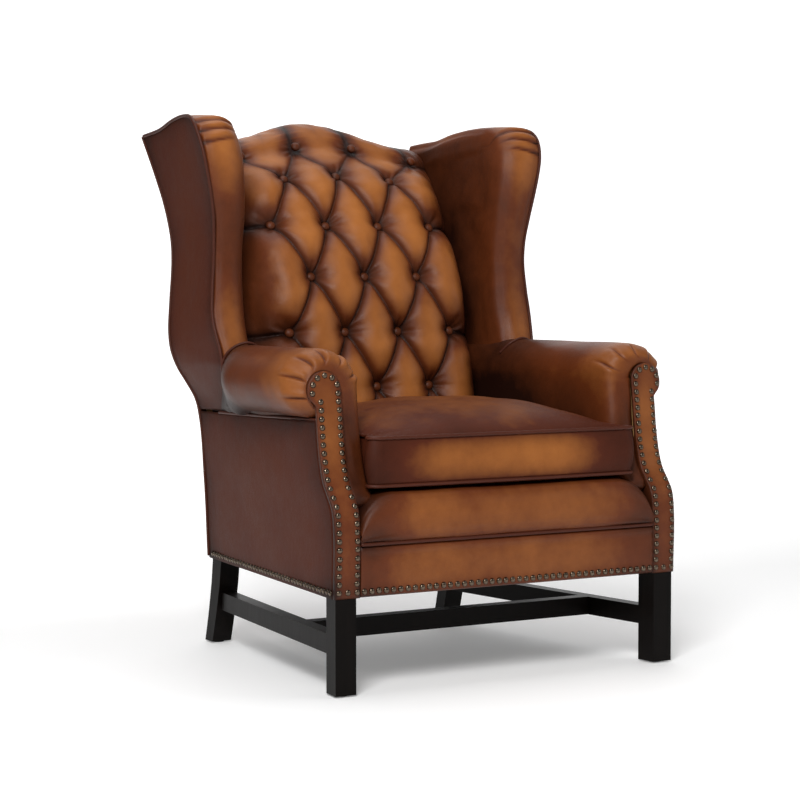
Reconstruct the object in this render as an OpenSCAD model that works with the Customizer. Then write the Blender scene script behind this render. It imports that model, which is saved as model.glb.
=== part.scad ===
// Wing armchair: timber frame, zigzag-sprung seat, padded leather shell, loose seat cushion.
// Millimetres. X is the chair's width, the front faces -Y, Z is up, feet stand on z = 0.
// Modules place their pieces with y = 0 at the front of the seat base; placed() then centres them.

/* [Overall] */
// Width of the seat base at its front, over the covers
body_w = 800; // [640:10:980]
// Depth of the seat base at its bottom edge
body_d = 700; // [590:10:860]
// How much the base narrows on each side towards the back
side_taper = 80; // [60:5:95]
// Height of the leather's lower edge, which is the visible leg height
leg_h = 187; // [150:1:230]
// Height of the arm tops
arm_h = 655; // [620:5:760]
// Height of the wings above the arm tops
wing_h = 470; // [390:5:565]

/* [Legs and stretchers] */
// Side of the square legs
leg_t = 45; // [38:1:54]
// How far a rear foot stands behind its own top
leg_splay = 40; // [30:1:48]
// Thickness of the stretchers
stretcher_t = 30; // [22:1:36]
// Height of a stretcher's section
stretcher_h = 38; // [30:1:46]
// Height of the stretchers' lower faces above the floor
stretcher_z = 76; // [60:1:90]
// Distance of the cross stretcher from the front
cross_y = 210; // [150:5:260]
// Radius of a foot glide
glide_r = 12; // [9:1:15]
// Thickness of a foot glide
glide_t = 3; // [2:0.5:5]

/* [Timber] */
// Height of the seat rails
rail_h = 94; // [84:1:96]
// Thickness of the seat rails
rail_t = 25; // [20:1:30]
// Width of a back post
post_w = 45; // [38:1:48]
// Depth of a back post
post_d = 44; // [36:1:52]
// Thickness of the wing posts
wing_post_t = 30; // [24:1:32]
// Thickness of the crest rail
crest_t = 22; // [18:1:26]

/* [Covers and padding] */
// Height of the flat leather border under the seat lip
border_h = 100; // [98:1:120]
// Thickness of the plain outside panels
cover_t = 3; // [2:0.5:3]
// Thickness of the padded front border and the arm facings
facing_t = 8; // [6:0.5:8]
// Thickness of the padding on the arms
arm_pad_t = 25; // [18:1:28]
// Thickness of the padding on the wings
wing_pad_t = 15; // [12:1:18]
// Thickness of the back pad
back_pad_t = 100; // [80:5:120]
// Width of an arm at its inner face, measured in from the front corner
arm_w = 110; // [100:2:120]
// Radius of the round head of an arm facing
head_r = 36; // [32:1:40]
// Height of the arm roll's section
roll_h = 132; // [116:2:140]
// How far the arm roll overhangs the base
roll_out = 50; // [40:2:60]
// Rise of the crest above the wing ends of the back
crest_rise = 49; // [30:1:60]
// Half-width of the crest's raised middle
crest_half_w = 230; // [190:5:240]
// Radius of a leather welt
welt_r = 3.5; // [2.5:0.5:4]

/* [Seat] */
// Height of the seat deck above the front border
deck_rise = 96; // [84:1:100]
// Thickness of the loose cushion at its border
cushion_t = 108; // [90:2:126]
// Crown of the cushion above its border
cushion_crown = 48; // [30:2:60]
// Width of each zigzag spring
spring_w = 50; // [40:2:58]
// Diameter of the spring wire
wire_d = 4; // [3:0.5:4.5]

/* [Buttons and nails] */
// Radius of a back button
button_r = 10; // [8:0.5:12]
// Depth of the tuft pockets in the back pad
tuft_depth = 25; // [18:1:30]
// Sideways spacing of the back buttons
button_pitch = 132; // [110:2:144]
// Diameter of a nail head
nail_d = 11; // [9:0.5:13]
// Spacing of the nail heads
nail_pitch = 16; // [14:0.5:20]
// Height of a nail head
nail_h = 3; // [2:0.5:4]

/* [Hidden] */
$fn = 32;

// clearance between neighbouring covers, padding and timber
gap = 0.5;
hw = body_w / 2;
rear_hw = hw - side_taper;
base_z = leg_h;
rail_top = base_z + rail_h;
border_top = base_z + border_h;
deck_z = border_top + deck_rise;
wing_top = arm_h + wing_h;
seat_hw = hw - arm_w;
// how far the seat lip bulges in front of the base, and the rear corners lean out behind it
lip_bulge = 5;
back_lean = 240;
overall_d = back_lean + body_d + lip_bulge;
leg_wood = "#15100c";
pale_wood = "#b48a5a";
leather = "#8a4b26";
dark_leather = "#5a3022";
steel_grey = "#8c8f92";
hessian = "#a58a5e";
old_brass = "#6e5a3c";

// ---- shape laws ----

function lerp(a, b, t) = a + (b - a) * t;

// half-width of the base at depth y
function base_x(y) = hw - side_taper * y / body_d;

// set-back of the arm facing at height z: share of the facing's height, then millimetres
facing_h = arm_h - 40 - base_z;
facing_law = [
  [0, 0], [0.33, 0], [0.4, 8], [0.45, 22], [0.5, 38], [0.55, 47],
  [0.6, 53], [0.7, 61], [0.8, 66], [0.9, 72], [1, 76]
];
function facing_y(z) = lookup((z - base_z) / facing_h, facing_law);

// front edge of the wing's outer panel: share of the wing's height, then x from the body's
// front corner and y from the middle of the arm's length
wing_y = body_d - 200;
wing_front_law = [
  [-0.3, -20, -4], [-0.1, -17, -2], [0, -12, 10], [0.07, -8, 18], [0.13, -6, 28], [0.22, -10, 34],
  [0.4, -16, 38], [0.5, -14, 33], [0.58, -9, 25], [0.69, 1, 19], [0.78, 11, 18], [0.85, 17, 20],
  [0.9, 21, 28], [0.95, 22, 46], [1, 24, 68]
];
function column(law, k) = [for (row = law) [row[0], row[k]]];
wing_front_x_law = column(wing_front_law, 1);
wing_front_y_law = column(wing_front_law, 2);
function wing_share(z) = (z - arm_h) / wing_h;
function wing_front_x(z) = hw + lookup(wing_share(z), wing_front_x_law);
function wing_front_y(z) = wing_y + lookup(wing_share(z), wing_front_y_law);

// rear corner edge of the chair: share of the wing's height, then x and y from the base's rear corner
rear_edge_law = [
  [-1, 0, 0], [-0.33, 9, 25], [-0.26, 13, 36], [-0.19, 28, 48], [-0.12, 47, 60], [-0.04, 53, 73],
  [0.04, 52, 85], [0.17, 45, 93], [0.38, 33, 105], [0.46, 32, 113], [0.56, 30, 130],
  [0.66, 32, 154], [0.77, 38, 185], [0.86, 41, 212], [0.95, 43, back_lean]
];
rear_x_law = column(rear_edge_law, 1);
rear_y_law = column(rear_edge_law, 2);
function rear_x(z) = rear_hw + lookup(wing_share(z), rear_x_law);
function rear_y(z) = body_d + lookup(wing_share(z), rear_y_law);

// inner face of the wing, measured from the body's front corner
wing_in_law = [[0, -95], [0.7, -95], [0.85, -88], [1, -82]];
function wing_in_x(z) = hw + lookup(wing_share(z), wing_in_law);

// top edge of the wing from its front (0) to its rear (1), measured from the wing's full height
wing_top_law = [[0, -6], [0.05, -3], [0.23, 2], [0.36, 1], [0.47, -5], [0.73, -18], [1, -22]];
function wing_top_z(u) = wing_top + lookup(u, wing_top_law);

// front face of the back pad: share of the wing's height, then y from the base's rear edge
back_law = [
  [-0.57, -194], [-0.37, -192], [-0.21, -189], [0.04, -165],
  [0.29, -135], [0.52, -80], [0.755, -10], [0.915, 70], [0.95, 92]
];
function back_y(z) = body_d + lookup(wing_share(z), back_law);

// camel-back crest line
crest_shoulder = wing_top - 29;
function crest_z(x) = crest_shoulder + crest_rise * (1 + cos(180 * min(abs(x) / crest_half_w, 1))) / 2;

// seam under the arm roll
function arm_seam_z(y) = arm_h - roll_h - 1 - 18 * y / body_d;

// ---- solid builders ----

function tri_pair(a, b, c, d) = [[a, b, c], [a, c, d]];
function flat(list) = [for (part = list) each part];

// a bent slab between two grids of points, one grid for each face
module slab(outer, inner) {
  rings = len(outer);
  cols = len(outer[0]);
  inner_start = rings * cols;
  function o(i, j) = i * cols + j;
  function n(i, j) = inner_start + i * cols + j;
  last_ring = rings - 1;
  last_col = cols - 1;
  skin = [for (i = [0 : last_ring - 1], j = [0 : last_col - 1]) each concat(
    tri_pair(o(i, j), o(i, j + 1), o(i + 1, j + 1), o(i + 1, j)),
    tri_pair(n(i, j), n(i + 1, j), n(i + 1, j + 1), n(i, j + 1)))];
  sides = [for (i = [0 : last_ring - 1]) each concat(
    tri_pair(o(i, 0), o(i + 1, 0), n(i + 1, 0), n(i, 0)),
    tri_pair(o(i, last_col), n(i, last_col), n(i + 1, last_col), o(i + 1, last_col)))];
  ends = [for (j = [0 : last_col - 1]) each concat(
    tri_pair(o(0, j), n(0, j), n(0, j + 1), o(0, j + 1)),
    tri_pair(o(last_ring, j), o(last_ring, j + 1), n(last_ring, j + 1), n(last_ring, j)))];
  polyhedron(points = concat(flat(outer), flat(inner)), faces = concat(skin, sides, ends));
}

// a solid through closed rings of points, with flat ends
module loft(rings) {
  cols = len(rings[0]);
  last = len(rings) - 1;
  skin = [for (i = [0 : last - 1], j = [0 : cols - 1]) each tri_pair(
    i * cols + j, (i + 1) * cols + j, (i + 1) * cols + (j + 1) % cols, i * cols + (j + 1) % cols)];
  near_end = [[for (j = [0 : cols - 1]) j]];
  far_end = [[for (j = [0 : cols - 1]) last * cols + cols - 1 - j]];
  polyhedron(points = flat(rings), faces = concat(skin, near_end, far_end));
}

function unit(v) = v / norm(v);

// rings of a round tube along a route; ref is any direction across the route
function tube_rings(route, r, ref, sides = 8) = [for (i = [0 : len(route) - 1])
  let (
    ahead = route[min(i + 1, len(route) - 1)] - route[max(i - 1, 0)],
    across = unit(cross(ahead, ref)),
    up = unit(cross(across, ahead))
  ) [for (k = [0 : sides - 1]) route[i] + r * (across * cos(360 * k / sides) - up * sin(360 * k / sides))]];

// extrude a y-z outline from x0 to x1
module along_x(x0, x1) {
  translate([x0, 0, 0]) rotate([90, 0, 90]) linear_extrude(x1 - x0) children();
}

// extrude an x-z outline from y0 to y1
module along_y(y0, y1) {
  translate([0, y1, 0]) rotate([90, 0, 0]) linear_extrude(y1 - y0) children();
}

// extrude an x-y outline from z0 to z1
module along_z(z0, z1) {
  translate([0, 0, z0]) linear_extrude(z1 - z0) children();
}

module placed() {
  translate([0, lip_bulge - overall_d / 2, 0]) children();
}

// the right-hand piece, or its mirror image on the left
module side(s) {
  placed() mirror([s < 0 ? 1 : 0, 0, 0]) children();
}

// ---- legs and stretchers ----

leg_inset = cover_t + gap;
facing_back = facing_t + 1;
rear_leg_front_y = body_d - 3 - leg_t;
rear_leg_out = rear_hw - 5;
toe_in = 6;

module leg_plan(y0) {
  y1 = leg_inset + leg_t;
  polygon([
    [base_x(y0) - leg_inset - leg_t, y0], [base_x(y0) - leg_inset, y0],
    [base_x(y1) - leg_inset, y1], [base_x(y1) - leg_inset - leg_t, y1]
  ]);
}

module front_leg(s) {
  color(leg_wood) side(s) {
    along_z(glide_t, base_z) leg_plan(leg_inset);
    along_z(base_z, rail_top) leg_plan(facing_back);
  }
}

// front face of a rear leg at height z: straight inside the seat, then splayed
function rear_leg_y(z) = rear_leg_front_y + leg_splay * pow(max(0, 1 - z / base_z), 1.4);

module rear_leg(s) {
  levels = [glide_t, leg_h * 0.2, leg_h * 0.4, leg_h * 0.7, base_z, rail_top];
  front = [for (z = levels) [rear_leg_y(z) + toe_in * max(0, 1 - z / base_z), z]];
  back = [for (i = [len(levels) - 1 : -1 : 0]) [rear_leg_y(levels[i]) + leg_t - 4, levels[i]]];
  color(leg_wood) side(s) along_x(rear_leg_out - leg_t, rear_leg_out) polygon(concat(front, back));
}

stretcher_top = stretcher_z + stretcher_h;
stretcher_mid_front = base_x(leg_t) - leg_inset - leg_t / 2;
stretcher_mid_rear = rear_leg_out - leg_t / 2;
stretcher_y0 = leg_inset + leg_t;
stretcher_y1 = rear_leg_y(stretcher_z + stretcher_h / 2);
function stretcher_x(y) = lerp(stretcher_mid_front, stretcher_mid_rear,
  (y - stretcher_y0) / (stretcher_y1 - stretcher_y0));

module side_stretcher(s) {
  run = stretcher_y1 + 20;
  rear_high = rear_leg_y(stretcher_top) + toe_in * (1 - stretcher_top / base_z);
  color(leg_wood) side(s) intersection() {
    along_z(stretcher_z, stretcher_top) polygon([
      [stretcher_x(stretcher_y0) - stretcher_t / 2, stretcher_y0],
      [stretcher_x(stretcher_y0) + stretcher_t / 2, stretcher_y0],
      [stretcher_x(run) + stretcher_t / 2, run], [stretcher_x(run) - stretcher_t / 2, run]
    ]);
    along_x(0, body_w) polygon([
      [0, stretcher_z], [rear_high, stretcher_z], [rear_high, stretcher_top], [0, stretcher_top]
    ]);
  }
}

module cross_stretcher() {
  y1 = cross_y + stretcher_t;
  in0 = stretcher_x(cross_y) - stretcher_t / 2;
  in1 = stretcher_x(y1) - stretcher_t / 2;
  color(leg_wood) placed() along_z(stretcher_z, stretcher_top)
    polygon([[-in0, cross_y], [in0, cross_y], [in1, y1], [-in1, y1]]);
}

front_foot_x = base_x(leg_inset + leg_t / 2) - leg_inset - leg_t / 2;
front_foot_y = leg_inset + leg_t / 2;
rear_foot_x = rear_leg_out - leg_t / 2;
rear_foot_y = rear_leg_y(glide_t) + leg_t / 2;

module foot_glides() {
  color(steel_grey) placed() for (s = [-1, 1]) {
    translate([s * front_foot_x, front_foot_y, 0]) cylinder(h = glide_t, r = glide_r);
    translate([s * rear_foot_x, rear_foot_y, 0]) cylinder(h = glide_t, r = glide_r);
  }
}

// ---- seat frame ----

rail_z = base_z + 1;
front_rail_y1 = facing_back + rail_t;
rear_rail_y = rear_leg_front_y + 3;

module front_rail() {
  x0 = base_x(facing_back) - leg_inset - leg_t;
  x1 = base_x(front_rail_y1) - leg_inset - leg_t;
  color(pale_wood) placed() along_z(rail_z, rail_top)
    polygon([[-x0, facing_back], [x0, facing_back], [x1, front_rail_y1], [-x1, front_rail_y1]]);
}

module rear_rail() {
  half = rear_leg_out - leg_t;
  color(pale_wood) placed() along_z(rail_z, rail_top)
    translate([-half, rear_rail_y]) square([2 * half, rail_t]);
}

module side_rail(s) {
  y0 = leg_inset + leg_t;
  color(pale_wood) side(s) along_z(rail_z, rail_top) polygon([
    [base_x(y0) - leg_inset - rail_t, y0], [base_x(y0) - leg_inset, y0],
    [base_x(rear_leg_front_y) - leg_inset, rear_leg_front_y],
    [base_x(rear_leg_front_y) - leg_inset - rail_t, rear_leg_front_y]
  ]);
}

block_reach = 72;
block_z0 = rail_top - 60;
block_z1 = rail_top - 6;
screw_r = 3;
screw_head_r = 6;
screw_z = (block_z0 + block_z1) / 2;

// inner corners of the seat frame, from which each corner block spreads
front_block_x = base_x(front_rail_y1) - leg_inset - leg_t - 6;
front_block_y = front_rail_y1 + gap;
rear_block_x = rear_leg_out - leg_t - gap;
rear_block_y = rear_rail_y - gap;

module block_screws(r, head) {
  for (dz = [-15, 15]) translate([0, 0, screw_z + dz]) {
    translate([front_block_x - block_reach / 2, front_block_y + block_reach / 2, 0])
      rotate([90, 0, 45]) {
        translate([0, 0, -gap]) cylinder(h = 32, r = r);
        if (head) translate([0, 0, -4 - gap]) cylinder(h = 4, r = screw_head_r);
      }
    translate([rear_block_x - block_reach / 2, rear_block_y - block_reach / 2, 0])
      rotate([90, 0, 135]) {
        translate([0, 0, -gap]) cylinder(h = 32, r = r);
        if (head) translate([0, 0, -4 - gap]) cylinder(h = 4, r = screw_head_r);
      }
  }
}

module corner_blocks() {
  color(pale_wood) for (s = [-1, 1]) side(s) difference() {
    along_z(block_z0, block_z1) {
      polygon([
        [front_block_x - block_reach, front_block_y], [front_block_x, front_block_y],
        [front_block_x, front_block_y + block_reach]
      ]);
      polygon([
        [rear_block_x - block_reach, rear_block_y], [rear_block_x, rear_block_y - block_reach],
        [rear_block_x, rear_block_y]
      ]);
    }
    block_screws(screw_r + 0.2, false);
  }
}

module corner_screws() {
  color(steel_grey) for (s = [-1, 1]) side(s) block_screws(screw_r, true);
}

// ---- upper frame ----

function post_front(z) = rear_y(z) - 6 - post_d;
post_top = wing_top - 115;

module back_post(s) {
  levels = [rail_top, for (share = [-0.33, -0.12, 0.04, 0.3, 0.46, 0.56, 0.66]) arm_h + share * wing_h,
    post_top];
  front = [for (z = levels) [post_front(z), z]];
  back = [for (i = [len(levels) - 1 : -1 : 0]) [post_front(levels[i]) + post_d, levels[i]]];
  color(pale_wood) side(s) along_x(rear_leg_out - post_w, rear_leg_out) polygon(concat(front, back));
}

arm_rail_h = 36;
arm_rail_z = arm_h - 93;
arm_rail_top = arm_rail_z + arm_rail_h;
arm_rail_end = rear_y(arm_rail_z) - 7;
arm_post_in = hw - 2 * head_r + 20;
arm_post_out = hw - 20;
arm_post_d = 45;

module arm_post(s) {
  levels = [rail_top, for (share = [0.33, 0.4, 0.45, 0.5, 0.55, 0.6, 0.7, 0.8]) base_z + share * facing_h,
    arm_rail_z];
  front = [for (z = levels) [facing_y(z) + facing_back, z]];
  back = [for (i = [len(levels) - 1 : -1 : 0]) [facing_y(levels[i]) + facing_back + arm_post_d, levels[i]]];
  color(pale_wood) side(s) along_x(arm_post_in, arm_post_out) polygon(concat(front, back));
}

module arm_rail(s) {
  y0 = facing_y(arm_rail_top) + facing_back;
  bend = body_d * 0.43;
  color(pale_wood) side(s) along_z(arm_rail_z, arm_rail_top) polygon([
    [hw - 46, y0], [hw - 8, y0], [hw - 8, bend], [rear_hw + 38, body_d - 100],
    [rear_x(arm_rail_z) - 11, arm_rail_end],
    [rear_leg_out + gap, arm_rail_end],
    [rear_leg_out + gap, body_d],
    [rear_hw + 10, body_d - 100], [hw - 46, bend]
  ]);
}

wing_post_in = hw - 60;
wing_post_top = wing_top - 36;
wing_post_set = wing_pad_t + 12;
wing_post_d = 42;

module wing_post(s) {
  levels = [arm_rail_top,
    for (share = [0, 0.07, 0.13, 0.22, 0.4, 0.5, 0.58, 0.69, 0.78, 0.85, 0.88]) arm_h + share * wing_h,
    wing_post_top];
  front = [for (z = levels) [wing_front_y(z) + wing_post_set, z]];
  back = [for (i = [len(levels) - 1 : -1 : 0])
    [wing_front_y(levels[i]) + wing_post_set + wing_post_d, levels[i]]];
  color(pale_wood) side(s) along_x(wing_post_in, wing_post_in + wing_post_t) polygon(concat(front, back));
}

module wing_top_rail(s) {
  y0 = wing_front_y(wing_post_top) + wing_post_set + wing_post_d + gap;
  drop = 50;
  y1 = rear_y(wing_post_top - drop) - 8;
  x0 = wing_in_x(wing_top) + wing_pad_t + 2;
  color(pale_wood) side(s) along_x(x0, x0 + 20) polygon([
    [y0, wing_post_top - 30], [y1, wing_post_top - drop], [y1, wing_post_top - 20], [y0, wing_post_top]
  ]);
}

crest_rail_y = rear_y(post_top) - cover_t - 3 - crest_t;
crest_cover = 33;

module crest_rail() {
  half = wing_in_x(wing_top) + wing_pad_t + 1;
  steps = 16;
  outline = concat(
    [[-half, post_top], [half, post_top]],
    [for (i = [0 : steps]) let (x = half * (1 - 2 * i / steps)) [x, crest_z(x) - crest_cover - 3]]
  );
  color(pale_wood) placed() along_y(crest_rail_y, crest_rail_y + crest_t) polygon(outline);
}

module lower_back_rail() {
  z0 = deck_z + 45;
  half = rear_leg_out - post_w;
  color(pale_wood) placed() translate([-half, post_front(z0) + 6, z0]) cube([2 * half, rail_t, 60]);
}

module back_webbing() {
  strap_h = 50;
  strap_t = 2;
  off = 3;
  straps = 5;
  first = arm_h - 100;
  step = (post_top - 60 - first) / (straps - 1);
  color(hessian) placed() for (i = [0 : straps - 1]) {
    z0 = first + i * step;
    z1 = z0 + strap_h;
    along_x(-rear_leg_out + 5, rear_leg_out - 5) polygon([
      [post_front(z0) - off - strap_t, z0], [post_front(z0) - off, z0],
      [post_front(z1) - off, z1], [post_front(z1) - off - strap_t, z1]
    ]);
  }
}

// ---- seat springs and deck ----

spring_n = 5;
spring_y0 = facing_back + 10;
spring_y1 = rear_rail_y + rail_t - 8;
spring_step = (seat_hw * 2 - 60) / spring_n;
function spring_x(i) = (i - (spring_n - 1) / 2) * spring_step;

module seat_springs() {
  loops = 22;
  run = (spring_y1 - spring_y0 - wire_d) / loops;
  color(steel_grey) placed() along_z(rail_top, rail_top + wire_d) for (i = [0 : spring_n - 1]) {
    for (k = [0 : loops]) translate([spring_x(i) - spring_w / 2, spring_y0 + k * run])
      square([spring_w, wire_d]);
    for (k = [0 : loops - 1])
      translate([spring_x(i) + (k % 2 == 0 ? spring_w / 2 - wire_d : -spring_w / 2), spring_y0 + k * run])
        square([wire_d, run + wire_d]);
  }
}

module spring_clips() {
  clip = [24, 7, wire_d + 2];
  color(steel_grey) placed() for (i = [0 : spring_n - 1]) {
    translate([spring_x(i) - clip[0] / 2, spring_y0 - clip[1], rail_top]) cube(clip);
    translate([spring_x(i) - clip[0] / 2, spring_y1, rail_top]) cube(clip);
  }
}

deck_t = 8;
deck_hw = rear_hw - rail_t - 15;
lip_d = 58;

module seat_foam() {
  z0 = rail_top + wire_d + 3;
  color("#d9c9a0") placed() translate([-deck_hw, lip_d + 4, z0])
    cube([2 * deck_hw, body_d - lip_d - 64, deck_z - deck_t - z0]);
}

module seat_deck() {
  color(dark_leather) placed() translate([-deck_hw, lip_d + 4, deck_z - deck_t])
    cube([2 * deck_hw, body_d - lip_d - 64, deck_t]);
}

module dust_cover() {
  y0 = leg_inset + leg_t + 1;
  y1 = rear_leg_front_y - 1;
  edge = leg_inset + 6;
  color("#1b1b1b") placed() along_z(base_z - 1, base_z) polygon([
    [-base_x(y0) + edge, y0], [base_x(y0) - edge, y0], [base_x(y1) - edge, y1], [-base_x(y1) + edge, y1]
  ]);
}

// ---- loose cushion ----

cushion_hw = seat_hw - 2 * welt_r - 2;
cushion_front_hw = seat_hw + 18;
cushion_y0 = 18;
cushion_y1 = body_d - 202;
cushion_z = deck_z + 2;
cushion_mid_y = (cushion_y0 + cushion_y1) / 2;
corner_r = 20;
ear_end = 34;

// right half of the cushion's plan drawn in by d, from the middle of the front to that of the back
function cushion_half(d) = let (
    front_r = max(1, corner_r / 2 - d),
    back_r = max(1, corner_r - d),
    x0 = cushion_front_hw - d,
    x1 = cushion_hw - d,
    y0 = cushion_y0 + d,
    y1 = cushion_y1 - d
  ) concat(
    [[0, y0], [x0 * 0.5, y0]],
    [for (a = [-90 : 30 : 0]) [x0 - front_r + front_r * cos(a), y0 + front_r + front_r * sin(a)]],
    [[x0, ear_end - d * 0.45], [x1, ear_end + 24 - d * 0.45], [x1, cushion_mid_y]],
    [for (a = [0 : 30 : 90]) [x1 - back_r + back_r * cos(a), y1 - back_r + back_r * sin(a)]],
    [[x1 * 0.5, y1], [0, y1]]
  );

// whole plan, drawn in by d and then scaled in by crown at its edges
function cushion_plan(d, crown) = let (
    half = cushion_half(d),
    n = len(half),
    kx = 1 - crown / cushion_front_hw,
    ky = 1 - crown / (cushion_y1 - cushion_mid_y),
    whole = concat(half, [for (i = [n - 2 : -1 : 1]) [-half[i][0], half[i][1]]])
  ) [for (p = whole) [p[0] * kx, cushion_mid_y + (p[1] - cushion_mid_y) * ky]];

// level above the cushion's underside, then how far its outline has drawn in
cushion_levels = [
  [0, 8], [4, 2], [10, 0], [cushion_t - 8, 0], [cushion_t - 2, 3], [cushion_t + cushion_crown * 0.2, 16],
  [cushion_t + cushion_crown * 0.5, 55], [cushion_t + cushion_crown * 0.8, 115],
  [cushion_t + cushion_crown, 185]
];

module cushion_body(shrink) {
  loft([for (i = [0 : len(cushion_levels) - 1]) let (
      level = cushion_levels[i],
      z = cushion_z + min(max(level[0], shrink), cushion_t + cushion_crown - shrink)
    ) [for (p = cushion_plan(shrink, level[1])) [p[0], p[1], z + i * 0.01]]]);
}

zip_w = seat_hw * 1.4;
cover_skin = 2;
core_inset = 6;

module cushion_cover() {
  color(leather) placed() difference() {
    cushion_body(0);
    cushion_body(cover_skin);
    translate([-zip_w / 2 + 4, cushion_y1 - 10, cushion_z + cushion_t / 2 - 4]) cube([zip_w - 8, 20, 8]);
  }
}

module cushion_core() {
  color("#e8dcb4") placed() cushion_body(core_inset);
}

module cushion_welt(z) {
  outline = cushion_plan(-welt_r - gap, 0);
  n = len(outline);
  route = [for (p = outline) [p[0], p[1], z]];
  rings = [for (i = [0 : n - 1]) let (
      out = unit(cross(unit(route[(i + 1) % n] - route[(i + n - 1) % n]), [0, 0, 1]))
    ) [for (k = [0 : 7]) route[i] + welt_r * (out * cos(45 * k) + [0, 0, 1] * sin(45 * k))]];
  faces = [for (i = [0 : n - 1], k = [0 : 7]) let (m = (i + 1) % n, q = (k + 1) % 8)
    each tri_pair(i * 8 + k, m * 8 + k, m * 8 + q, i * 8 + q)];
  color(dark_leather) placed() polyhedron(points = flat(rings), faces = faces);
}

module cushion_zip() {
  color("#2c2622") placed() translate([0, cushion_y1 + gap, cushion_z + cushion_t / 2]) {
    translate([-zip_w / 2, 0, -5]) cube([zip_w, 1.5, 10]);
    translate([zip_w / 2 - 22, 1.5, -4]) cube([12, 3, 8]);
    translate([zip_w / 2 - 19, 1.5, -24]) cube([6, 1.5, 20]);
  }
}

// ---- padded leather ----

// half-width of the back pad at height z
back_half_law = [[0, 4], [0.5, 4], [1, -12]];
function back_half(z) = seat_hw - lookup(wing_share(z), back_half_law);
back_edge = 40;
wrap_ys = [130, 185, 222];

// outer face of the back pad on the line u of its width, from its foot over the crest
function back_outer(u) = let (
    foot = deck_z + 5,
    top = crest_z(u * back_half(wing_top)) - 24,
    bow = back_edge * (1 - sqrt(1 - 0.98 * u * u)),
    rise = 14
  ) concat(
    [for (i = [0 : rise]) let (z = lerp(foot, top, i / rise)) [u * back_half(z), back_y(z) + bow, z]],
    [
      [u * back_half(top), body_d + wrap_ys[0], top + 24],
      [u * back_half(top), body_d + wrap_ys[1], top + 18],
      [u * back_half(top), body_d + wrap_ys[2], top - 4]
    ]
  );

// its inner face, held clear of the posts and the crest rail
function back_inner(u) = let (outer = back_outer(u), n = len(outer), rise = n - 4) [for (i = [0 : n - 1])
  let (
    p = outer[i],
    crest = crest_z(u * back_half(wing_top)),
    limit = min(post_front(min(p[2], post_top)) - 8, crest_rail_y - 3)
  ) i <= rise
    ? [p[0] * 0.96, min(p[1] + back_pad_t, limit), min(p[2], crest - crest_cover)]
    : [p[0], max(p[1], limit), crest - crest_cover]];

// button rows: share of the wing's height at the row, then 1 where the row is staggered
button_rows = [[-0.215, 0], [0.038, 1], [0.287, 0], [0.521, 1], [0.755, 0], [0.915, 1]];
function row_x(staggered) = staggered == 0
  ? [-button_pitch, 0, button_pitch]
  : [-1.5 * button_pitch, -button_pitch / 2, button_pitch / 2, 1.5 * button_pitch];
// the outer buttons of the top row sit lower, as the crest falls away
function button_drop(row, x) = row[0] > 0.9 && abs(x) > button_pitch ? 22 : 0;
function button_slope(z) = atan((back_y(z + 20) - back_y(z - 20)) / 40);

module at_buttons() {
  for (row = button_rows) for (x = row_x(row[1])) {
    z = arm_h + row[0] * wing_h - button_drop(row, x);
    bow = back_edge * (1 - sqrt(1 - 0.98 * pow(x / back_half(z), 2)));
    translate([x, back_y(z) + tuft_depth + bow, z]) rotate([90 - button_slope(z), 0, 0]) children();
  }
}

module back_pad() {
  us = [for (i = [0 : 14]) sin(90 * (i / 7 - 1))];
  color(leather) placed() difference() {
    slab([for (u = us) back_outer(u)], [for (u = us) back_inner(u)]);
    at_buttons() cylinder(h = 3 * tuft_depth, r = button_r + 3);
  }
}

module back_buttons() {
  color(dark_leather) placed() at_buttons() translate([0, 0, gap]) {
    cylinder(h = 4, r = button_r);
    translate([0, 0, 4]) cylinder(h = 4, r1 = button_r, r2 = button_r * 0.6);
  }
}

// plan of the wing's padding at height z: front boxing, then the inner face towards the back
function wing_outer(v) = let (foot = arm_h + 5) [for (j = [0 : 8])
  let (
    z_guess = lerp(foot, wing_top - 4, v),
    xo = wing_front_x(z_guess) - cover_t - 2,
    xi = wing_in_x(z_guess),
    yf = wing_front_y(z_guess),
    yb = back_y(z_guess) + 90,
    plan = [
      [xo, yf + 12], [xo - 6, yf + 1], [lerp(xo, xi, 0.35), yf - 3], [lerp(xo, xi, 0.65), yf],
      [xi + 12, yf + 9], [xi + 3, yf + 22], [xi, yf + 45], [xi, lerp(yf + 45, yb, 0.5)], [xi, yb]
    ],
    p = plan[j],
    along = max(0, (p[1] - yf) / (rear_y(z_guess) - yf)),
    z = lerp(foot, wing_top_z(along) - 2, v)
  ) [p[0], p[1], z]];

// x of the outside wing panel at depth y
function wing_panel_x(y, z) = lerp(wing_front_x(z), rear_x(z),
  min(1, max(0, (y - wing_front_y(z)) / (rear_y(z) - wing_front_y(z)))));

function wing_inner(v, full) = let (outer = wing_outer(v)) [for (j = [0 : 8])
  let (p = outer[j], lift = j < 5 ? wing_pad_t : 0, room = wing_panel_x(p[1], p[2]) - cover_t - 3)
  full
    ? [j < 2 ? p[0] - 1 : room, p[1] + (j < 2 ? 6 : 4), p[2]]
    : [min(p[0] + (j < 3 ? 0 : wing_pad_t), room), p[1] + lift, p[2]]];

module wing_pad(s) {
  n = 16;
  closed_v = 0.935;
  vs = [for (i = [0 : n]) closed_v * i / n];
  top_vs = [closed_v + 0.002, 0.97, 1];
  color(leather) side(s) slab(
    [for (v = concat(vs, top_vs)) wing_outer(v)],
    concat([for (v = vs) wing_inner(v, false)], [for (v = top_vs) wing_inner(v, true)])
  );
}

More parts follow.
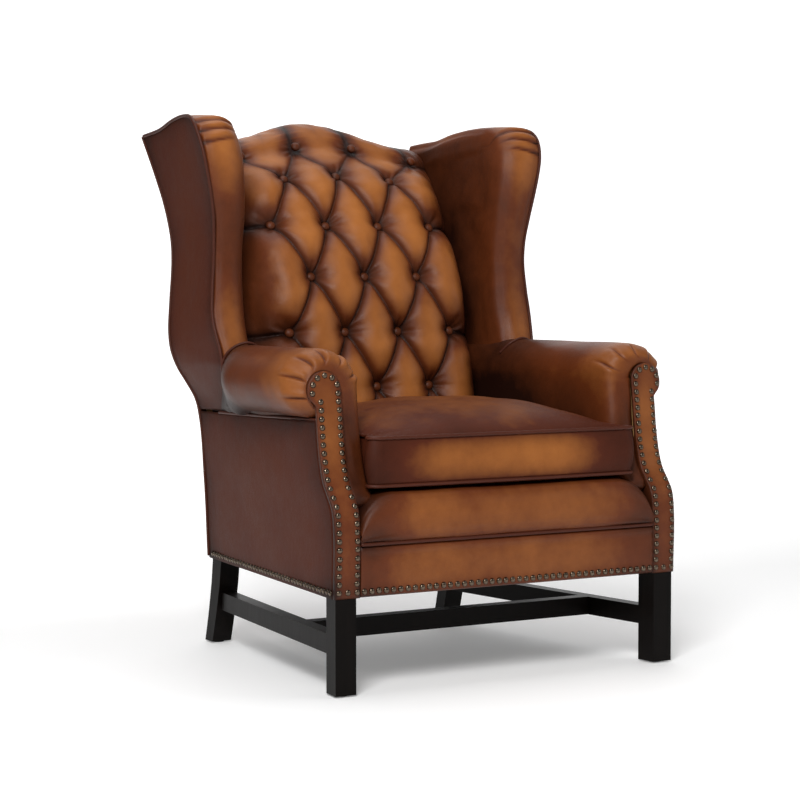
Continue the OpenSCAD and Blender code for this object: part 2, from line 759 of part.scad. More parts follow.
// section of the arm's padding: grow runs from 0 at the facing to 1 on the full roll,
// slim runs from 0 on the full roll to 1 where only the inside face goes on behind the wing
roll_rz = roll_h / 2;
roll_rx = (arm_w + roll_out) / 2;
head_x = hw - 20;
head_z = arm_h - 77;
function arm_section(grow, slim, inset) = let (
    cx = lerp(lerp(head_x, seat_hw + roll_rx, grow), seat_hw + 14, slim),
    cz = lerp(lerp(head_z, arm_h - roll_rz, grow), arm_h - 12, slim),
    rx = lerp(lerp(head_r + gap, roll_rx, grow), 14, slim),
    rz = lerp(lerp(head_r + gap, roll_rz, grow), 12, slim),
    t = min(lerp(2, arm_pad_t, grow), rz * 0.7) * inset,
    foot = deck_z - 3
  ) concat(
    [for (i = [0 : 4]) [cx - rx + t, lerp(foot, cz, i / 4)]],
    [for (i = [1 : 11]) let (a = 180 - 255 * i / 11) [cx + (rx - t) * cos(a), cz + (rz - t) * sin(a)]]
  );

dome_l = 48;
arm_start = facing_back + 3;
// rings of the arm pad: grow, slim, y, and 1 where y is counted from the facing's own curve
arm_rings = concat(
  [for (a = [0 : 18 : 90]) [sin(a), 0, arm_start + dome_l * (1 - cos(a)), 1]],
  [
    [1, 0, 150, 0], [1, 0, body_d * 0.4, 0], [1, 0, wing_y - 12, 0],
    [1, 1, wing_y - 6, 0], [1, 1, body_d - 60, 0]
  ]
);
function arm_grid(inset) = [for (ring = arm_rings) [for (p = arm_section(ring[0], ring[1], inset))
  [p[0], ring[2] + ring[3] * facing_y(p[1]), p[1]]]];

module arm_pad(s) {
  color(leather) side(s) difference() {
    slab(arm_grid(0), arm_grid(1));
    translate([hw - 86, wing_y - 20, arm_rail_z - 1]) cube([80, 20, arm_rail_h + 2]);
  }
}

module facing_outline() {
  translate([head_x, head_z]) circle(r = head_r, $fn = 48);
  translate([hw - 56, base_z]) square([56, head_z - head_r / 2 - base_z]);
}

module arm_facing(s) {
  levels = [base_z, for (row = facing_law) if (row[0] > 0 && row[0] < 1) base_z + row[0] * facing_h,
    base_z + facing_h];
  front = [for (z = levels) [facing_y(z), z]];
  back = [for (i = [len(levels) - 1 : -1 : 0]) [facing_y(levels[i]) + facing_t, levels[i]]];
  color(leather) side(s) intersection() {
    along_y(-10, 200) facing_outline();
    along_x(0, body_w) polygon(concat(front, back));
  }
}

// ---- plain outside panels ----

module outside_wing(s) {
  function edge(u, v, t) = let (
      z0 = lerp(arm_seam_z(wing_y), arm_seam_z(body_d), u) + 12,
      z = lerp(z0, wing_top_z(u), v),
      x = lerp(wing_front_x(z), rear_x(z), u),
      y = lerp(wing_front_y(z) + 8, rear_y(z) - cover_t - 1, u)
    ) [x - t, y, z];
  us = [0, 0.1, 0.25, 0.4, 0.6, 0.8, 1];
  vs = [for (i = [0 : 20]) i / 20];
  color(dark_leather) side(s) slab(
    [for (u = us) [for (v = vs) edge(u, v, 0)]], [for (u = us) [for (v = vs) edge(u, v, cover_t)]]);
}

module outside_arm(s) {
  function edge(u, v, t) = let (
      y_top = lerp(facing_y(arm_seam_z(0)) + facing_back, rear_y(arm_seam_z(body_d)), u),
      z = lerp(base_z, arm_seam_z(y_top), v),
      x = lerp(hw, rear_x(z), u),
      y = lerp(facing_y(z) + facing_back, rear_y(z) - cover_t - 1, u)
    ) [x - t, y, z];
  us = [0, 0.25, 0.5, 0.75, 1];
  vs = [for (i = [0 : 14]) i / 14];
  color(dark_leather) side(s) slab(
    [for (u = us) [for (v = vs) edge(u, v, 0)]], [for (u = us) [for (v = vs) edge(u, v, cover_t)]]);
}

module outside_back() {
  function spot(u, v, t) = let (
      top = crest_z(u * rear_x(wing_top)) - crest_cover - 4,
      z = lerp(base_z, top, v)
    ) [u * (rear_x(z) - gap), rear_y(z) - t, z];
  us = [for (i = [-8 : 8]) i / 8];
  vs = [for (i = [0 : 22]) i / 22];
  color(dark_leather) placed() slab(
    [for (u = us) [for (v = vs) spot(u, v, cover_t)]], [for (u = us) [for (v = vs) spot(u, v, 0)]]);
}

border_hw = hw - 56 - gap;

module front_border() {
  color(leather) placed() translate([-border_hw, 0, base_z]) cube([2 * border_hw, facing_t, border_h]);
}

// rounded lip above the border: a half-round roll with drawn-in ends
module seat_lip() {
  n = 12;
  function ring(x) = let (
      near_end = max(0, (abs(x) - border_hw + 40) / 40),
      k = sqrt(1 - 0.75 * near_end * near_end),
      z0 = border_top + 2,
      h = (deck_z - 8 - z0) * lerp(0.55, 1, k)
    ) [
      [x, lip_d, z0], [x, 6, z0], [x, lerp(8, 0, k), z0 + h * 0.08],
      [x, lerp(8, -lip_bulge, k), z0 + h * 0.3],
      [x, lerp(8, -lip_bulge, k), z0 + h * 0.55], [x, lerp(12, 0, k), z0 + h * 0.8], [x, 14, z0 + h * 0.95],
      [x, 26, z0 + h], [x, lip_d, z0 + h]
    ];
  xs = [for (i = [-n : n]) border_hw * sin(90 * i / n)];
  color(leather) placed() loft([for (i = [2 * n : -1 : 0]) ring(xs[i])]);
}

// ---- welts ----

module wing_welt(s) {
  n = 26;
  z0 = arm_h - 20;
  z1 = wing_top - 8;
  route = [for (i = [0 : n]) let (z = lerp(z0, z1, i / n))
    [wing_front_x(z) + 1, wing_front_y(z) + 3, z]];
  color(dark_leather) side(s) loft(tube_rings(route, welt_r, [1, 0, 0]));
}

module arm_welt(s) {
  z0 = arm_seam_z(0);
  y0 = facing_y(z0) + facing_back + 2;
  y1 = wing_y - 10;
  route = [for (i = [0 : 6]) let (y = lerp(y0, y1, i / 6))
    [lerp(hw, rear_x(arm_seam_z(body_d)), y / (body_d + 25)) - 2, y, arm_seam_z(y) + welt_r + 1]];
  color(dark_leather) side(s) loft(tube_rings(route, welt_r * 0.8, [0, 0, 1]));
}

module front_welt() {
  route = [for (i = [-4 : 4]) [border_hw * i / 4, -welt_r * 0.4, border_top]];
  color(dark_leather) placed() difference() {
    loft(tube_rings(route, welt_r, [0, 0, 1]));
    translate([-hw, 0, border_top - 20]) cube([body_w, 40, 40]);
  }
}

// ---- nails ----

module nail() {
  cylinder(h = nail_h, r1 = nail_d / 2, r2 = nail_d / 4);
}

nail_z = base_z + nail_d + 1;
nail_off = gap / 2;

module border_nails() {
  front_n = floor(border_hw / nail_pitch);
  side_len = body_d - 16;
  side_n = floor(side_len / nail_pitch);
  tilt = atan(side_taper / body_d);
  color(old_brass) {
    placed() for (i = [-front_n : front_n])
      translate([i * nail_pitch, -nail_off, nail_z]) rotate([90, 0, 0]) nail();
    for (s = [-1, 1]) side(s) for (i = [1 : side_n]) {
      y = 8 + i * nail_pitch - nail_pitch / 2;
      along = (y - facing_back) / (rear_y(nail_z) - cover_t - 1 - facing_back);
      translate([lerp(hw, rear_x(nail_z), along) + nail_off + 0.4, y, nail_z])
        rotate([0, 90, tilt]) nail();
    }
  }
}

module facing_nail(x, z) {
  lean = atan((facing_y(z + 8) - facing_y(z - 8)) / 16);
  crowd = 0.4 + abs(sin(lean)) * 1.2;
  translate([x, facing_y(z) - crowd, z]) rotate([90 - lean, 0, 0]) nail();
}

module facing_nail_rows() {
  margin = 8;
  z_end = head_z - head_r / 2 - 6;
  rows = floor((z_end - nail_z) / nail_pitch);
  arc_r = head_r - margin;
  arc_n = 7;
  color(old_brass) for (s = [-1, 1]) side(s) {
    for (i = [0 : rows]) {
      facing_nail(hw - 56 + margin, nail_z + i * nail_pitch);
      facing_nail(hw - margin, nail_z + i * nail_pitch);
    }
    facing_nail(hw - 28, nail_z);
    for (i = [0 : arc_n - 1]) let (a = 195 - 210 * i / (arc_n - 1))
      facing_nail(head_x + arc_r * cos(a), head_z + arc_r * sin(a));
  }
}

module rear_nails() {
  n = floor((rear_hw - 8) / nail_pitch);
  color(old_brass) placed() for (i = [-n : n])
    translate([i * nail_pitch, rear_y(nail_z) + nail_off + 0.4, nail_z]) rotate([-90, 0, 0]) nail();
}

front_leg(-1);  // front_leg_left
front_leg(1);  // front_leg_right
rear_leg(-1);  // rear_leg_left
rear_leg(1);  // rear_leg_right
side_stretcher(-1);  // side_stretcher_left
side_stretcher(1);  // side_stretcher_right
cross_stretcher();
foot_glides();
front_rail();
rear_rail();
side_rail(-1);  // side_rail_left
side_rail(1);  // side_rail_right
corner_blocks();
corner_screws();
back_post(-1);  // back_post_left
back_post(1);  // back_post_right
arm_post(-1);  // arm_post_left
arm_post(1);  // arm_post_right
arm_rail(-1);  // arm_rail_left
arm_rail(1);  // arm_rail_right
wing_post(-1);  // wing_post_left
wing_post(1);  // wing_post_right
wing_top_rail(-1);  // wing_top_rail_left
wing_top_rail(1);  // wing_top_rail_right
crest_rail();
lower_back_rail();
back_webbing();
seat_springs();
spring_clips();
seat_foam();
seat_deck();
dust_cover();
cushion_cover();
cushion_core();
cushion_welt(cushion_z + cushion_t - 6);  // cushion_welt_top
cushion_welt(cushion_z + 10);  // cushion_welt_bottom
cushion_zip();
back_pad();
back_buttons();
wing_pad(-1);  // wing_pad_left
wing_pad(1);  // wing_pad_right
arm_pad(-1);  // arm_pad_left
arm_pad(1);  // arm_pad_right
arm_facing(-1);  // arm_facing_left
arm_facing(1);  // arm_facing_right
outside_wing(-1);  // outside_wing_left
outside_wing(1);  // outside_wing_right
outside_arm(-1);  // outside_arm_left
outside_arm(1);  // outside_arm_right
outside_back();
front_border();
seat_lip();
wing_welt(-1);  // wing_welt_left
wing_welt(1);  // wing_welt_right
arm_welt(-1);  // arm_welt_left
arm_welt(1);  // arm_welt_right
front_welt();
border_nails();
facing_nail_rows();
rear_nails();
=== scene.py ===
"""High-backed wing armchair in antiqued leather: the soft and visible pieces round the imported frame."""

import bpy
import math
import numpy as np
from bpy.props import FloatProperty, FloatVectorProperty, IntProperty, PointerProperty
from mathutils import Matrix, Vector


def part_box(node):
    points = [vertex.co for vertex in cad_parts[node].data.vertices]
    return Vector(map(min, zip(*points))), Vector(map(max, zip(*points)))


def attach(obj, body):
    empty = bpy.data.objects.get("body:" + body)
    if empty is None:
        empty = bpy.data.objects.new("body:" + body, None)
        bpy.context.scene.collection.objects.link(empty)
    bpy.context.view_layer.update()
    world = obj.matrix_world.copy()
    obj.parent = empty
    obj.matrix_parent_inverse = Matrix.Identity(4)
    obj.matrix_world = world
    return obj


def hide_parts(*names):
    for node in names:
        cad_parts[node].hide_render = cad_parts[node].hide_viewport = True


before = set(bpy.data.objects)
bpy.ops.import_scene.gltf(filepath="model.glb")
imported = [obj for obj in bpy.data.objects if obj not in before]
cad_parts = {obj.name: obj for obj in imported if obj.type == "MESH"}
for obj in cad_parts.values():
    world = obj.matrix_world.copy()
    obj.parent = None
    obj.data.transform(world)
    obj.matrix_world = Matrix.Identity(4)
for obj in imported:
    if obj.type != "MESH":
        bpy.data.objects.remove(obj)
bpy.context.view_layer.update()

bl_info = {
    "name": "Wing Armchair",
    "version": (1, 0, 0),
    "blender": (4, 5, 0),
    "location": "View3D > Sidebar > Armchair",
    "description": "Builds the leather, padding, nails and finish of a buttoned wing armchair",
    "category": "Object",
}

CHAIR = "chair"
CUSHION = "seat_cushion"
FRONT_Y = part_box("front_border")[0][1]
BASE_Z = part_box("front_border")[0][2]
BORDER_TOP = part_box("front_border")[1][2]
BASE_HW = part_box("outside_arm_right")[1][0]
DECK_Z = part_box("seat_deck")[1][2]
ARM_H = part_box("arm_pad_right")[1][2]
SEAT_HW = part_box("arm_pad_right")[0][0]
CREST_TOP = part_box("back_pad")[1][2]


# ---- sizes and colours a user would change ----

def hex_colour(text):
    """A linear colour from a six-digit sRGB hex value."""
    parts = [int(text[i:i + 2], 16) / 255 for i in (0, 2, 4)]
    return tuple(p / 12.92 if p <= 0.04045 else ((p + 0.055) / 1.055) ** 2.4 for p in parts)


def length(name, description, default):
    return FloatProperty(name=name, description=description, default=default,
                         unit="LENGTH", subtype="DISTANCE")


def colour(name, description, text):
    return FloatVectorProperty(name=name, description=description, default=hex_colour(text), size=3,
                               subtype="COLOR", min=0.0, max=1.0)


class ARMCHAIR_PG_sizes(bpy.types.PropertyGroup):
    tuft: length("Tuft height", "Height of a diamond of the back over its buttons", 0.046)
    pleat: length("Pleat depth", "Depth of the pleats round an arm's front", 0.0040)
    welt: length("Welt radius", "Radius of the leather welts", 0.0036)
    button: length("Button radius", "Radius of a back button", 0.0105)
    nail: length("Nail radius", "Radius of a nail's domed head", 0.0061)
    crown: length("Cushion crown", "Rise of the seat cushion over its border", 0.058)
    swell: length("Swell", "How far the padding may move when it is inflated", 0.007)
    sides: IntProperty(name="Tube sides", description="Sides of a welt's round section",
                       default=10, min=6, max=24)


class ARMCHAIR_PG_colours(bpy.types.PropertyGroup):
    # The fold colour also stands for painted shade in folds and along seams, and the crown colour for painted
    # highlights on crowns, besides real antiquing.
    deep: colour("Fold", "Leather in the folds and along the seams", "230e07")
    brown: colour("Brown", "Leather between folds and crowns", "5f2d13")
    tan: colour("Crown", "Leather on the rubbed crowns", "a4642f")
    maroon: colour("Outside", "Leather of the plain outside panels", "4d2213")
    legs: colour("Legs", "Stained legs and stretchers", "0d0806")
    brass: colour("Nails", "Antique nail heads", "6e6052")
    floor: colour("Floor", "The studio floor", "f4f4f4")


def sizes():
    return bpy.context.scene.armchair_sizes


def colours():
    return bpy.context.scene.armchair_colours


# ---- curves and fields ----

def law(rows):
    """A smooth function through (x, value) rows, level beyond its ends."""
    xs, ys = np.array(rows, float).T
    step = np.diff(ys) / np.diff(xs)
    slope = np.concatenate(([step[0]], (step[1:] + step[:-1]) / 2, [step[-1]]))

    def value(x):
        x = np.clip(x, xs[0], xs[-1])
        i = np.clip(np.searchsorted(xs, x) - 1, 0, len(xs) - 2)
        w = xs[i + 1] - xs[i]
        t = (x - xs[i]) / w
        ends = ys[i] * (1 + 2 * t) * (1 - t) ** 2 + ys[i + 1] * t * t * (3 - 2 * t)
        return ends + w * (slope[i] * t * (1 - t) ** 2 - slope[i + 1] * t * t * (1 - t))

    return value


def run_of(points):
    """Distance along a line of points, from its start to each of them."""
    return np.concatenate(([0], np.cumsum(np.linalg.norm(np.diff(points, axis=0), axis=1))))


def unit(vectors):
    return vectors / np.linalg.norm(vectors, axis=-1, keepdims=True)


def turned_to(normals, way):
    """The normals, each flipped where it faces away from way."""
    return normals * np.sign((normals * way).sum(-1, keepdims=True))


def spline(points, count):
    """count points along a smooth curve through the given ones, evenly spaced."""
    points = np.array(points, float)
    along = run_of(points)
    fine = np.linspace(0, along[-1], count * 8)
    curve = np.stack([law(np.stack([along, points[:, k]], 1))(fine) for k in range(points.shape[1])], 1)
    run = run_of(curve)
    even = np.linspace(0, run[-1], count)
    return np.stack([np.interp(even, run, curve[:, k]) for k in range(points.shape[1])], 1)


def lerp(a, b, t):
    return a + (b - a) * t


def smooth(t):
    t = np.clip(t, 0.0, 1.0)
    return t * t * (3 - 2 * t)


def bump(x, centre, width):
    return np.exp(-((x - centre) / width) ** 2)


def ripple(points, size, seed):
    """Smooth unevenness from -1 to 1 over points, with features of about that size."""
    draw = np.random.RandomState(seed)
    waves = draw.normal(size=(9, 3))
    waves *= ((2 * math.pi / size) * draw.uniform(0.5, 1.5, size=(9, 1))
              / np.linalg.norm(waves, axis=1)[:, None])
    phase = draw.uniform(0, 2 * math.pi, 9)
    return np.sin(points @ waves.T + phase).sum(-1) / 4.5


def place(points):
    """From the base's front face to the chair's frame."""
    return np.asarray(points, float) + [0, FRONT_Y, 0]


def grid_quads(rows, cols, start=0, closed=False):
    cells = cols if closed else cols - 1
    i, j = np.meshgrid(np.arange(rows - 1), np.arange(cells), indexing="ij")
    k = (j + 1) % cols
    return np.stack([start + i * cols + j, start + i * cols + k, start + (i + 1) * cols + k,
                     start + (i + 1) * cols + j], -1).reshape(-1, 4)


def grid_normals(grid):
    """Unit normals of a grid of points, from its rows and columns."""
    across = np.gradient(grid, axis=1)
    along = np.gradient(grid, axis=0)
    normal = np.cross(along, across)
    return normal / np.maximum(np.linalg.norm(normal, axis=-1, keepdims=True), 1e-12)


def coons(bottom, top, left, right):
    """A patch between four edges; left and right run from the bottom edge to the top one."""
    rows, cols = len(left), len(bottom)
    v = np.linspace(0, 1, rows)[:, None, None]
    u = np.linspace(0, 1, cols)[None, :, None]
    ruled = lerp(bottom[None], top[None], v) + lerp(left[:, None], right[:, None], u)
    corners = lerp(lerp(bottom[0], bottom[-1], u), lerp(top[0], top[-1], u), v)
    return ruled - corners


# ---- pieces ----

def make_piece(name, verts, quads, material, body=CHAIR, replaces=(), shade=None, thick=0.0,
               inside=None):
    """A smooth mesh piece that rides on a body, with its shade attribute and its finish."""
    verts = np.asarray(verts, float).reshape(-1, 3)
    quads = np.asarray(quads)
    if inside is not None:
        corner = verts[quads]
        normal = np.cross(corner[:, 2] - corner[:, 0], corner[:, 3] - corner[:, 1])
        if (normal * (corner.mean(1) - np.asarray(inside))).sum() < 0:
            quads = quads[:, ::-1]
    mesh = bpy.data.meshes.new(name)
    mesh.from_pydata(verts.tolist(), [], quads.tolist())
    mesh.shade_smooth()
    values = np.full(len(verts), 0.5) if shade is None else np.asarray(shade, float).ravel()
    layer = mesh.attributes.new("shade", "FLOAT", "POINT")
    layer.data.foreach_set("value", np.clip(values, 0, 1).astype(np.float32))
    piece = bpy.data.objects.new(name, mesh)
    bpy.context.scene.collection.objects.link(piece)
    mesh.materials.append(material)
    if thick:
        shell = piece.modifiers.new("thickness", "SOLIDIFY")
        shell.thickness = thick
        shell.offset = -1
    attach(piece, body)
    if replaces:
        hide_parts(*replaces)
    return piece


def soft_piece(name, node, points, quads, shade, thick, inside, look="leather"):
    """A stuffed or stretched cover that takes the place of one solid of the frame."""
    piece = make_piece(name, points, quads, finish(look), replaces=(node,), shade=shade,
                       thick=thick, inside=inside)


TUBE_LUMPS = 0.03


def tube(route, radius, sides, closed=False):
    """Points and quads of a round tube along a route."""
    route = np.asarray(route, float)
    ahead = np.roll(route, -1, 0) - np.roll(route, 1, 0) if closed else np.gradient(route, axis=0)
    ahead = unit(ahead)
    up = np.array([0.31, 0.17, 0.93])
    frames = []
    for step in ahead:
        up = unit(up - step * (up @ step))
        frames.append((up, np.cross(step, up)))
    turn = np.linspace(0, 2 * math.pi, sides, endpoint=False)
    wave = 1 + TUBE_LUMPS * ripple(route, 0.05, 3)
    rings = np.array([p + r * radius * (np.outer(np.cos(turn), a) + np.outer(np.sin(turn), b))
                      for p, r, (a, b) in zip(route, wave, frames)])
    quads = grid_quads(len(route), sides, closed=True)
    if closed:
        last = (len(route) - 1) * sides
        spots = np.arange(sides)
        after = (spots + 1) % sides
        quads = np.concatenate([quads, np.stack([last + spots, last + after, after, spots], 1)])
    else:
        ends = [np.concatenate([rings, np.repeat(route[k][None, None], sides, 1)]) for k in (0, -1)]
        rings = np.concatenate([ends[0][-1:], rings, ends[1][-1:]])
        quads = grid_quads(len(rings), sides, closed=True)
    return rings.reshape(-1, 3), quads


def joined(parts):
    """Several (points, quads) made into one."""
    verts, quads, start = [], [], 0
    for points, faces in parts:
        verts.append(points)
        quads.append(faces + start)
        start += len(points)
    return np.concatenate(verts), np.concatenate(quads)


CLOTH_STIFFNESS = 15.0


def inflate(verts, quads, hold, pressure, frames):
    """Cloth under pressure: hold is 1 where the leather is sewn down and 0 where it is free."""
    shape = verts.reshape(-1, 3)
    mesh = bpy.data.meshes.new("inflating")
    mesh.from_pydata(shape.tolist(), [], quads.tolist())
    body = bpy.data.objects.new("inflating", mesh)
    bpy.context.scene.collection.objects.link(body)
    sewn = body.vertex_groups.new(name="sewn")
    for weight in np.unique(np.round(hold.ravel(), 1)):
        if weight > 0:
            spots = np.nonzero(np.round(hold.ravel(), 1) == weight)[0]
            sewn.add(spots.tolist(), float(weight), "REPLACE")
    cloth = body.modifiers.new("cloth", "CLOTH")
    cloth.settings.vertex_group_mass = "sewn"
    cloth.settings.pin_stiffness = 5
    cloth.settings.quality = 4
    cloth.settings.tension_stiffness = cloth.settings.compression_stiffness = CLOTH_STIFFNESS
    cloth.settings.shear_stiffness = CLOTH_STIFFNESS / 2
    cloth.settings.bending_stiffness = 2.0
    cloth.settings.use_pressure = True
    cloth.settings.uniform_pressure_force = pressure
    cloth.settings.effector_weights.gravity = 0
    cloth.collision_settings.use_collision = False
    for step in range(1, frames + 1):
        bpy.context.scene.frame_set(step)
    solved = body.evaluated_get(bpy.context.evaluated_depsgraph_get())
    moved = np.empty(len(shape) * 3)
    solved.data.vertices.foreach_get("co", moved)
    bpy.context.scene.frame_set(1)
    bpy.data.objects.remove(body)
    bpy.data.meshes.remove(mesh)
    shift = moved.reshape(-1, 3) - shape
    size = np.linalg.norm(shift, axis=1, keepdims=True)
    shift *= np.minimum(1, sizes().swell / np.maximum(size, 1e-9)) * (1 - hold.reshape(-1, 1))
    return (shape + shift).reshape(verts.shape)


def inflate_grid(grid, hold, pressure, frames, coarse):
    """Inflates a coarser copy of a grid and spreads its movement over the full one."""
    rows, cols = grid.shape[:2]
    i = np.unique(np.append(np.arange(0, rows, coarse), rows - 1))
    j = np.unique(np.append(np.arange(0, cols, coarse), cols - 1))
    part = grid[np.ix_(i, j)]
    shift = inflate(part, grid_quads(len(i), len(j)), hold[np.ix_(i, j)], pressure, frames) - part
    down = np.stack([[np.interp(np.arange(rows), i, shift[:, b, k]) for b in range(len(j))]
                     for k in range(3)])
    both = np.stack([[np.interp(np.arange(cols), j, down[k, :, a]) for a in range(rows)]
                     for k in range(3)], -1)
    return grid + both * (1 - hold[..., None])


# ---- finishes ----

class Wire:
    """An output socket of a material's nodes, used in Python expressions."""

    def __init__(self, tree, socket=None):
        self.tree = tree
        self.socket = socket

    def node(self, kind, settings=(), inputs=(), output=0):
        """Adds a node: settings first (stops fill a ramp), then the values or links of its sockets."""
        made = self.tree.nodes.new(kind)
        for name, value in dict(settings).items():
            if name == "stops":
                ramp = made.color_ramp
                while len(ramp.elements) < len(value):
                    ramp.elements.new(0.5)
                for element, (spot, shade) in zip(ramp.elements, value):
                    element.position = spot
                    element.color = (*shade, 1)
            else:
                setattr(made, name, value)
        for name, value in dict(inputs).items():
            if isinstance(value, Wire):
                self.tree.links.new(value.socket, made.inputs[name])
            else:
                made.inputs[name].default_value = value
        return Wire(self.tree, made.outputs[output])

    def maths(self, operation, first, second):
        return self.node("ShaderNodeMath", {"operation": operation}, {0: first, 1: second})

    def __add__(self, other):
        return self.maths("ADD", self, other)

    def __radd__(self, other):
        return self.maths("ADD", other, self)

    def __sub__(self, other):
        return self.maths("SUBTRACT", self, other)

    def __rsub__(self, other):
        return self.maths("SUBTRACT", other, self)

    def __mul__(self, other):
        return self.maths("MULTIPLY", self, other)

    def __rmul__(self, other):
        return self.maths("MULTIPLY", other, self)


def start_material(name):
    """A new material with only an output, and a wire to build from."""
    material = bpy.data.materials.new(name)
    material.use_nodes = True
    material.node_tree.nodes.clear()
    return material, Wire(material.node_tree)


def finish_material(paint, shader):
    end = paint.tree.nodes.new("ShaderNodeOutputMaterial")
    paint.tree.links.new(shader.socket, end.inputs["Surface"])


def noise(paint, where, scale, detail=3.0, rough=0.5):
    return paint.node("ShaderNodeTexNoise", {}, {"Vector": where, "Scale": scale, "Detail": detail,
                                                  "Roughness": rough}, "Fac")


def stretched(paint, where, scale):
    return paint.node("ShaderNodeVectorMath", {"operation": "MULTIPLY"}, {0: where, 1: scale})


def bumped(paint, height, distance, strength):
    return paint.node("ShaderNodeBump", {}, {"Height": height, "Distance": distance, "Strength": strength})


def leather(name, deep, brown, tan, lift, mottle, gloss, shine, index):
    """Antiqued full-grain leather: shade runs from 0 in a fold to 1 on a crown. It mixes real antiquing
    (darker folds, rubbed crowns) with painted shade in the folds and painted highlights on the crowns.
    """
    material, paint = start_material(name)
    where = paint.node("ShaderNodeTexCoord", {}, {}, "Object")
    shade = paint.node("ShaderNodeAttribute", {"attribute_name": "shade"}, {}, "Fac")
    cloud = noise(paint, where, 6.0, 4.0, 0.55)
    patch = noise(paint, where, 32.0, 5.0, 0.6)
    # Painted light: shade brings painted shade in folds and painted highlights on crowns, together with real
    # antiquing; the noise adds random mottle.
    wear_and_painted_light = shade + lift + (cloud - 0.5) * mottle + (patch - 0.5) * (mottle * 0.5)
    base = paint.node("ShaderNodeValToRGB", {"stops": [
        (0.0, deep), (0.42, brown), (0.95, tan)]}, {0: wear_and_painted_light}, "Color")
    pores = paint.node("ShaderNodeTexVoronoi", {"feature": "DISTANCE_TO_EDGE"}, {
        "Vector": where, "Scale": 430.0, "Randomness": 1.0}, "Distance")
    fine = noise(paint, where, 1500.0, 2.0)
    creases = noise(paint, where, 85.0, 4.0, 0.6)
    grain = bumped(paint, pores * 0.7 + fine * 0.3, 0.0006, 0.75)
    soft = paint.node("ShaderNodeBump", {}, {"Height": creases, "Distance": 0.0016, "Strength": 0.30,
                                              "Normal": grain})
    rough = gloss + (patch - 0.5) * 0.16 + (1 - shade) * 0.10
    finish_material(paint, paint.node("ShaderNodeBsdfPrincipled", {}, {
        "Base Color": base, "Roughness": rough, "Normal": soft, "IOR": index,
        "Specular IOR Level": shine}))
    return material


GRAIN = (90.0, 90.0, 4.0)


def timber(name, light, dark, gloss):
    """Wood whose grain runs along Z."""
    material, paint = start_material(name)
    where = paint.node("ShaderNodeTexCoord", {}, {}, "Object")
    grain = noise(paint, stretched(paint, where, GRAIN), 1.0, 5.0, 0.6)
    pores = noise(paint, stretched(paint, where, tuple(8 * a for a in GRAIN)), 1.0, 2.0)
    base = paint.node("ShaderNodeValToRGB", {"stops": [(0.3, dark), (0.7, light)]}, {0: grain}, "Color")
    finish_material(paint, paint.node("ShaderNodeBsdfPrincipled", {}, {
        "Base Color": base, "Roughness": gloss + (grain - 0.5) * 0.12, "Specular IOR Level": 0.30,
        "IOR": 1.25, "Normal": bumped(paint, pores, 0.0004, 0.25)}))
    return material


def metal(name, light, dark, gloss, scale):
    """Metal with tarnish in patches; shade darkens the rim of a nail."""
    material, paint = start_material(name)
    where = paint.node("ShaderNodeTexCoord", {}, {}, "Object")
    shade = paint.node("ShaderNodeAttribute", {"attribute_name": "shade"}, {}, "Fac")
    tarnish = noise(paint, where, scale, 3.0)
    base = paint.node("ShaderNodeValToRGB", {"stops": [(0.25, dark), (0.8, light)]},
                      {0: tarnish * 0.6 + shade * 0.5}, "Color")
    finish_material(paint, paint.node("ShaderNodeBsdfPrincipled", {}, {
        "Base Color": base, "Metallic": 1.0, "Roughness": gloss + (tarnish - 0.5) * 0.2,
        "Normal": bumped(paint, noise(paint, where, scale * 3, 2.0), 0.0003, 0.3)}))
    return material


def weave(name, light, dark, threads):
    """Plain woven cloth: two crossed sets of threads."""
    material, paint = start_material(name)
    where = paint.node("ShaderNodeTexCoord", {}, {}, "Object")
    warp, weft = (paint.node("ShaderNodeTexWave", {"bands_direction": way},
                             {"Vector": where, "Scale": threads}, "Fac") for way in "XY")
    cloth = warp * 0.5 + weft * 0.5
    base = paint.node("ShaderNodeValToRGB", {"stops": [(0.2, dark), (0.8, light)]},
                      {0: cloth * 0.6 + noise(paint, where, 30.0) * 0.4}, "Color")
    finish_material(paint, paint.node("ShaderNodeBsdfPrincipled", {}, {
        "Base Color": base, "Roughness": 0.9, "Normal": bumped(paint, cloth, 0.0006, 0.6)}))
    return material


def foam(name, light, dark):
    """Open-celled foam."""
    material, paint = start_material(name)
    where = paint.node("ShaderNodeTexCoord", {}, {}, "Object")
    cells = paint.node("ShaderNodeTexVoronoi", {}, {"Vector": where, "Scale": 500.0}, "Distance")
    base = paint.node("ShaderNodeValToRGB", {"stops": [(0.0, dark), (0.7, light)]}, {0: cells}, "Color")
    finish_material(paint, paint.node("ShaderNodeBsdfPrincipled", {}, {
        "Base Color": base, "Roughness": 0.95, "Normal": bumped(paint, cells, 0.0006, 0.5)}))
    return material


FINISHES = {}


